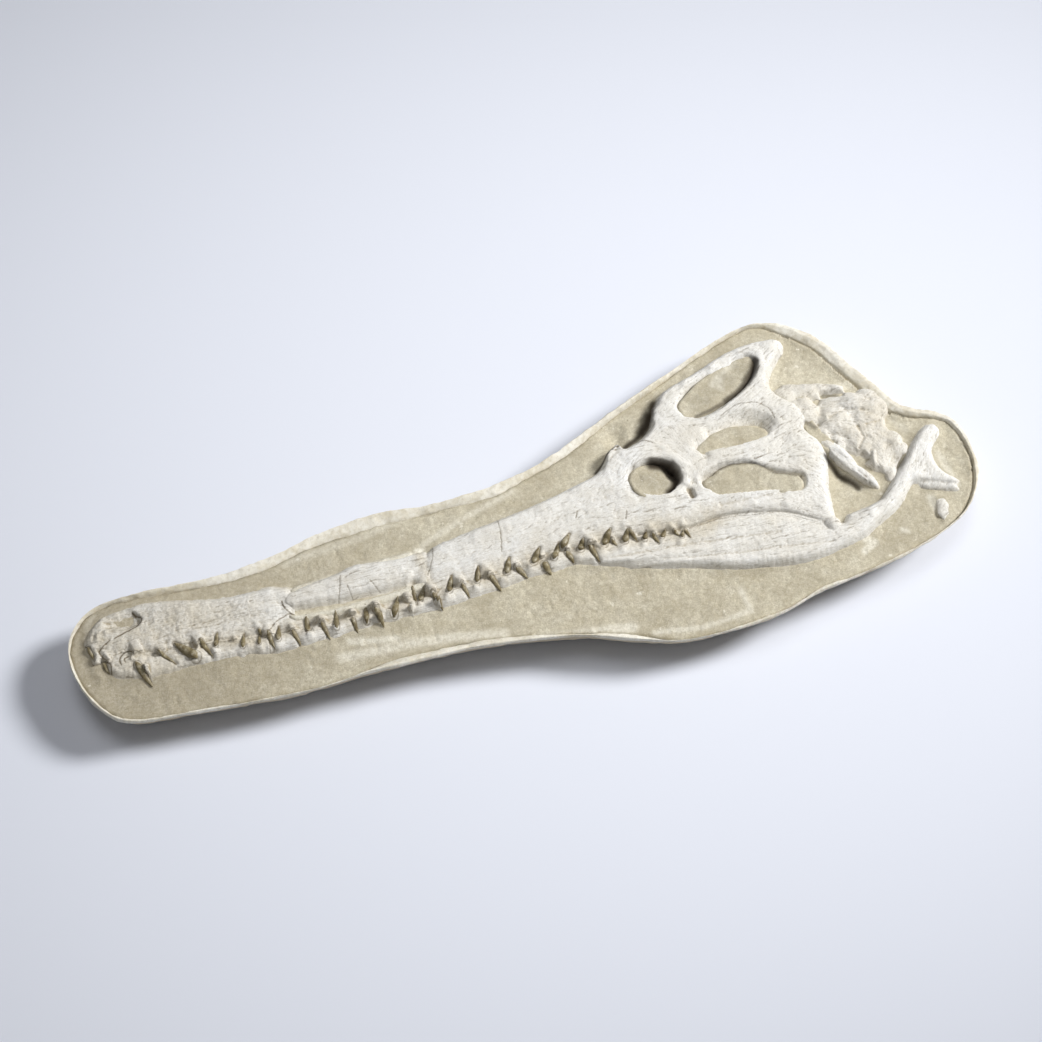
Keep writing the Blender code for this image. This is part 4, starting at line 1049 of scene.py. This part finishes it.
def mounds(lower):
    """Rises where a jaw's crowns stand, and dips where the other jaw's crowns come over it."""
    made = []
    for table, own in ((LOWER_TEETH, lower), (UPPER_TEETH, not lower)):
        for *root, length, lean, _ in table:
            root, way = np.array(root, float), way_of(lean)
            if own:
                size = min(4.0 + length * 0.35, 12.0)
                made.append(([root - way * size, root - way], size, 2.2))
            elif length > 12:
                made.append(([root + way * length * 0.3, root + way * length], 5.5, -1.6))
    return made


def lump(x, y, long, wide, turn, top):
    """A rounded swelling of bone."""
    select_only()
    bpy.ops.mesh.primitive_ico_sphere_add(subdivisions=3, radius=1.0)
    knob = bpy.context.object
    a, b, c = (places_of(knob) * MM * (long, wide, top - LUMP_MIDDLE)).T
    cos, sin = way_of(turn)
    put_places(knob, np.column_stack(
        [x + a * cos - b * sin, y + a * sin + b * cos, LUMP_MIDDLE + c]))
    return knob


def with_lumps(piece, lumps):
    return join_pieces(piece.name, piece, *(lump(*knob) for knob in lumps))


# Ridges and hollows of each mass of bone: a line along each, its width, height
SNOUT_STROKES = [
    ([(-528, 2), (-514, 0), (-503, -1)], 16, -6.5), ([(-498, 7), (-494, 2), (-494, -6)], 5, -2.4),
    ([(-538, 12), (-528, 6)], 4, 1.6), ([(-539, 2), (-527, 0)], 4, 1.6), ([(-536, -9),
    (-526, -6)], 4, 1.4), ([(-482, -10), (-484, 10)], 10, -1.6), ([(-521, -56), (-522, -48),
    (-516, -43)], 3.5, -2.4), ([(-515, -54), (-513, -52)], 5, 2.2), ([(-549, -32),
    (-540, -52)], 5, -2.5), ([(-545, -10), (-552, -26)], 6, 1.5), ([(-430, -30), (-380, -34),
    (-320, -38)], 9, -1.4), ([(-440, -8), (-330, -2)], 14, 1.2), ([(-268, -60),
    (-180, -58)], 8, -1.6),
]
SKULL_STROKES = [
    ([(114, 45), (138, 68)], 6, 2.5), ([(149, 80), (145, 72)], 10, -9), ([(156, 70), (173, 80),
    (194, 97), (208, 118)], 7, 3.0), ([(150, 26), (147, 6), (154, -12), (176, -20)], 12, -1.0),
    ([(217, -14), (218, -24)], 6.5, -7.0), ([(186, 46), (210, 38), (222, 20)], 7, 2.0), ([(268, 60),
    (300, 69), (328, 66), (344, 52)], 15, -5.0), ([(150, 58), (190, 62), (205, 52)], 6, 1.2),
    ([(-100, 4), (0, 26), (90, 52)], 9, 1.0), ([(-90, -30), (20, -14), (110, 8)], 12, -1.0),
    ([(140, -48), (240, -52), (330, -66)], 9, 1.2), ([(250, -46), (330, -50)], 7, -1.4),
    ([(380, 165), (398, 172)], 12, 1.0),
]
JAW_STROKES = [
    ([(40, -72), (200, -86), (310, -100)], 5, -1.3), ([(80, -84), (240, -112),
    (370, -130)], 5, -1.3), ([(60, -78), (220, -98), (340, -114)], 6, 1.0), ([(395, -110),
    (450, -84), (500, -34)], 6, -1.2), ([(430, -108), (480, -80), (516, -30)], 7, 1.0),
    ([(-500, -80), (-300, -92), (-100, -86)], 6, -0.8),
]
REAR_STROKES = [
    ([(425, 66), (452, 62)], 7, -2.0), ([(427, 81), (452, 76)], 7, -6.0), ([(391, 42), (400, 27),
    (408, 16)], 6, -7.0), ([(405, 20), (421, 6)], 3.5, -3.5), ([(448, -18), (452, -26)], 8, -5.0),
    ([(463, -20), (458, -38)], 5, 3.0), ([(456, 22), (458, 4), (448, -8)], 4, -2.0), ([(424, 42),
    (448, 50), (470, 44)], 4, -1.5), ([(468, 22), (486, 24)], 4, -2.0), ([(470, 66),
    (484, 56)], 4, -1.2),
]
# Swellings where bone runs on between the solids: x, y, half lengths, turn, height of the top
SNOUT_LUMPS = [
    (-332, -14, 26, 17, 0, 72), (-316, -14, 20, 12, 0, 71.5), (-330, -36, 24, 18, -20, 72),
    (-318, -38, 14, 13, 0, 70.5), (-500, -56, 11, 15, 0, 70),
]
SKULL_LUMPS = [
    (379, -106, 16, 17, 0, 79), (214, 32, 12, 12, 0, 84), (219, 14, 11, 15, 0, 84),
    (216, -3, 10, 12, 0, 84), (204, 44, 14, 9, -30, 84), (186, 48, 14, 9, 0, 83),
    (203, -17, 10, 8, 0, 83),
]
# The same for the braincase and the neck
KNOBS = [
    (390, 60, 30, 26, -20, 76), (380, 90, 24, 16, -8, 73), (410, 94, 22, 10, -14, 70),
    (440, 84, 19, 10, -25, 69), (432, 40, 26, 24, -20, 74), (462, 58, 28, 18, -25, 72),
    (484, 46, 22, 22, 0, 71), (470, 28, 26, 24, 0, 71), (448, 6, 20, 26, 30, 71),
    (474, 4, 22, 20, 0, 69), (494, -6, 14, 15, 0, 68), (503, -20, 9, 12, 10, 66),
    (468, -26, 13, 22, -20, 68), (477, -52, 8, 14, -20, 66), (408, 24, 16, 14, 0, 71),
    (438, 66, 20, 13, 0, 69), (486, 66, 16, 10, -30, 67), (425, 8, 12, 14, 30, 71),
    (397, 66, 20, 17, 80, 76), (410, 8, 16, 10, -50, 73),
]
SNOUT_NODES = ("premaxilla", "maxilla_front")
SKULL_NODES = (
    "nasal_bone", "maxilla_rear", "frontal_bone", "jugal_front", "jugal_rear", "postorbital_bone",
    "parietal_bone", "squamosal_bone", "right_temporal_arch", "left_temporal_arch", "quadrate_bone")
JAW_NODES = ("dentary_front", "dentary_middle", "dentary_rear", "surangular_bone", "angular_bone",
             "articular_bone", "retroarticular_spur")
REAR_NODES = ("braincase_rear", "neck_bone_front", "neck_bone_rear", "occipital_ridge")

upper_solids = solid_crowns(UPPER_SOLIDS, 0.05)
lower_solids = solid_crowns(LOWER_SOLIDS, -0.42)
snout = copy_of("snout_bone", *SNOUT_NODES)
without_crowns(snout, upper_solids)
snout = with_lumps(snout, SNOUT_LUMPS)
roof = with_lumps(copy_of("snout_roof_bone", "roof_plate"),
                  [(-141, -16, 21, 19, 0, 72.8), (-139, -38, 20, 17, 0, 72.4)])
skull = copy_of("skull_bone", *SKULL_NODES)
without_crowns(skull, upper_solids)
skull = with_lumps(skull, SKULL_LUMPS)
jaw = copy_of("lower_jaw_bone", *JAW_NODES)
without_crowns(jaw, lower_solids)
jaw = with_lumps(jaw, [(524, -84, 24, 6, -22, 67), (543, -92, 15, 5, -18, 66.5)])

covered = soften(bones_plan > 0, 3) > 0.35
for outline in openings + [inside for inside, _ in ledges] + [inside_outline(b) for b in BRIDGES]:
    covered |= outline
for x, y, radius in STEEP_EDGES:
    covered |= np.hypot(*(plan_cells - (x, y)).T).reshape(plan_shape) < radius
bones_inset = soften(inset_of(covered, SHOULDER + 2), 2)
spread = floor_below(tree_of([snout, roof, skull, jaw]), plan_cells).reshape(plan_shape).clip(0.0)
for pick in [np.maximum] * 7 + [np.minimum] * 7:
    beside = [np.roll(spread, step, axis) for step in (1, -1) for axis in (0, 1)]
    spread = pick.reduce([spread] + beside)
closed_plan = soften(spread, 3)

for piece, cell, strokes, seed, ceiling, pitted, nodes in (
        (snout, 1.1, SNOUT_STROKES, 21, 75.5, 0.5, SNOUT_NODES),
        (roof, 1.1, [([(-300, -34), (-220, -22), (-140, -8)], 10, 0.8)], 27, 77.0, 0.5,
         ("roof_plate",)),
        (skull, 1.28, SKULL_STROKES, 33, 83.9, 0.9, SKULL_NODES),
        (jaw, 1.1, JAW_STROKES, 39, 78.0, 0.5, JAW_NODES)):
    carve_ready(piece, cell)
    round_shoulders(piece)
    carve(piece, strokes + mounds(nodes == JAW_NODES), seed, ceiling, pitted)
    set_piece(piece, bone, "fossil_bone", *nodes)

rear = with_lumps(copy_of("braincase_and_neck_bone", *REAR_NODES), KNOBS)
carve_ready(rear, 0.9, ease=30)
carve(rear, REAR_STROKES, 45, 78.0, cream=0.5, ragged=0.55)
set_piece(rear, bone, "fossil_bone", *REAR_NODES)

# The blade of the palate is narrower than its solid and broken at its ends
blade = copy_of("palate_bone", "pterygoid_blade")
places = places_of(blade)
side = way_of(28)
apart = (places[:, :2] - places[:, :2].mean(axis=0)) @ side
places[:, :2] -= 0.42 * apart[:, None] * side
places[:, 2] = np.minimum(places[:, 2], 71.0)
put_places(blade, places)
blade = with_lumps(blade, [(424, -12, 30, 8, -64, 73), (441, -46, 26, 7, -58, 71.5)])
scrap = copy_of("loose_bone_scrap", "bone_scrap")
for piece, seed, ceiling, cream, node in ((blade, 51, 76.0, 0.0, "pterygoid_blade"),
                                          (scrap, 57, 68.0, 0.2, "bone_scrap")):
    carve_ready(piece, 0.9, rounds=6, ease=8)
    carve(piece, [], seed, ceiling, cream=cream)
    set_piece(piece, bone, "fossil_bone", node)

# THE TEETH
# Pointed crowns of dark olive to brown enamel, finely ridged along their length and slightly
# curved. Each rises from its cone of bone and leans over the other jaw.
enamel, spot, shader = new_finish("tooth_enamel")
band = spot.spots(2.4, (0.38, 0.6, (1, 0)), stretch=(1.0, 0.35, 1.0), detail=5, rough=0.7)
worn = spot.spots(7, (0.52, 0.64), detail=5, rough=0.65, shift=0.4)
tint = coats((120, 110, 83), (spot.spots(22, (0.4, 0.62), detail=3), (146, 135, 105)),
             (band * 0.6, (90, 76, 50)), (worn * 0.5, (190, 182, 160)))
connect(shader, tint, 0.4, spot.spots(1.2, detail=3).bump(0.4, 0.0006))
# A crown's shape from its foot to its point: share of its length, share of its thickness
CROWN_PROFILE = [(-0.12, 0.2), (-0.06, 0.5), (0.06, 0.78), (0.25, 0.92), (0.45, 0.84), (0.7, 0.6),
                 (0.88, 0.32), (1.0, 0.04)]

jaws = tree_of([snout, skull, jaw, roof, rock])
for name, table, seed in (("upper_teeth", UPPER_TEETH, 3), ("lower_teeth", LOWER_TEETH, 5)):
    dice = random.Random(seed)
    row = []
    for crown, (*_, size) in zip(crown_lines(table, jaws), table):
        profile = [(share, size * width) for share, width in CROWN_PROFILE]
        row.append(taper(crown, profile, -size * 0.2, 0.85, dice.uniform(-0.06, 0.03)))
    row = join_pieces(name, *row)
    bpy.ops.object.shade_smooth()
    set_piece(row, enamel, "fossil_bone")

# THE ROOM
# A pale studio floor, a soft spotlight low on the right, a weak one overhead and a dim pale sky.
# The camera looks down on the slab from the side of the lower jaw.
CAMERA_TURN = math.radians(15.5)
CAMERA_TILT = math.radians(62.0)
CAMERA_DISTANCE = 3.12
CAMERA_AIM = Vector((0.001665, 0.008659, 0.06))

select_only()
bpy.ops.mesh.primitive_plane_add(size=12.0)
floor = bpy.context.object
floor.name = "studio_floor"
paint, _, shader = new_finish("studio_paint")
connect(shader, colour(225, 229, 240), 0.85)
floor.data.materials.append(paint)


def place_facing(name, data, place, aim):
    """A lamp or camera at its place, turned to look along its aim."""
    item = bpy.data.objects.new(name, data)
    bpy.context.scene.collection.objects.link(item)
    item.location = place
    item.rotation_euler = aim.to_track_quat("-Z", "Y").to_euler()
    return item


aim = Vector((math.sin(CAMERA_TURN) * math.cos(CAMERA_TILT),
              math.cos(CAMERA_TURN) * math.cos(CAMERA_TILT), -math.sin(CAMERA_TILT)))
lens = bpy.data.cameras.new("camera")
lens.lens = 85.0
lens.sensor_width = 36.0
lens.clip_start = 0.05
lens.clip_end = 50.0
bpy.context.scene.camera = place_facing("camera", lens, CAMERA_AIM - aim * CAMERA_DISTANCE, aim)

# Each lamp's turn and height in degrees, distance, aim on the floor, cone, size, watts and colour
for name, turn, tall, distance, spot_on, cone, size, watts, shade in (
        ("lamp_key", 0, 41, 7.0, (0.08, 0.12, 0.0), 34, 1.0, 2350.0, (1.0, 0.995, 0.985)),
        ("lamp_overhead", 90, 85, 3.5, (0.1, 0.1, 0.0), 40, 1.2, 235.0, (1.0, 1.0, 1.0))):
    turn, tall = math.radians(turn), math.radians(tall)
    away = Vector((math.cos(turn) * math.cos(tall), math.sin(turn) * math.cos(tall),
                   math.sin(tall)))
    lamp = bpy.data.lights.new(name, "SPOT")
    lamp.spot_size = math.radians(cone)
    lamp.spot_blend = 1.0
    lamp.shadow_soft_size = size
    lamp.energy = watts
    lamp.color = shade
    place_facing(name, lamp, Vector(spot_on) + away * distance, -away)
world = bpy.data.worlds.new("sky")
bpy.context.scene.world = world
world.use_nodes = True
sky = world.node_tree.nodes["Background"].inputs
sky["Color"].default_value = (0.97, 0.98, 1.0, 1.0)
sky["Strength"].default_value = 0.16
bpy.context.scene.view_settings.view_transform = "Standard"
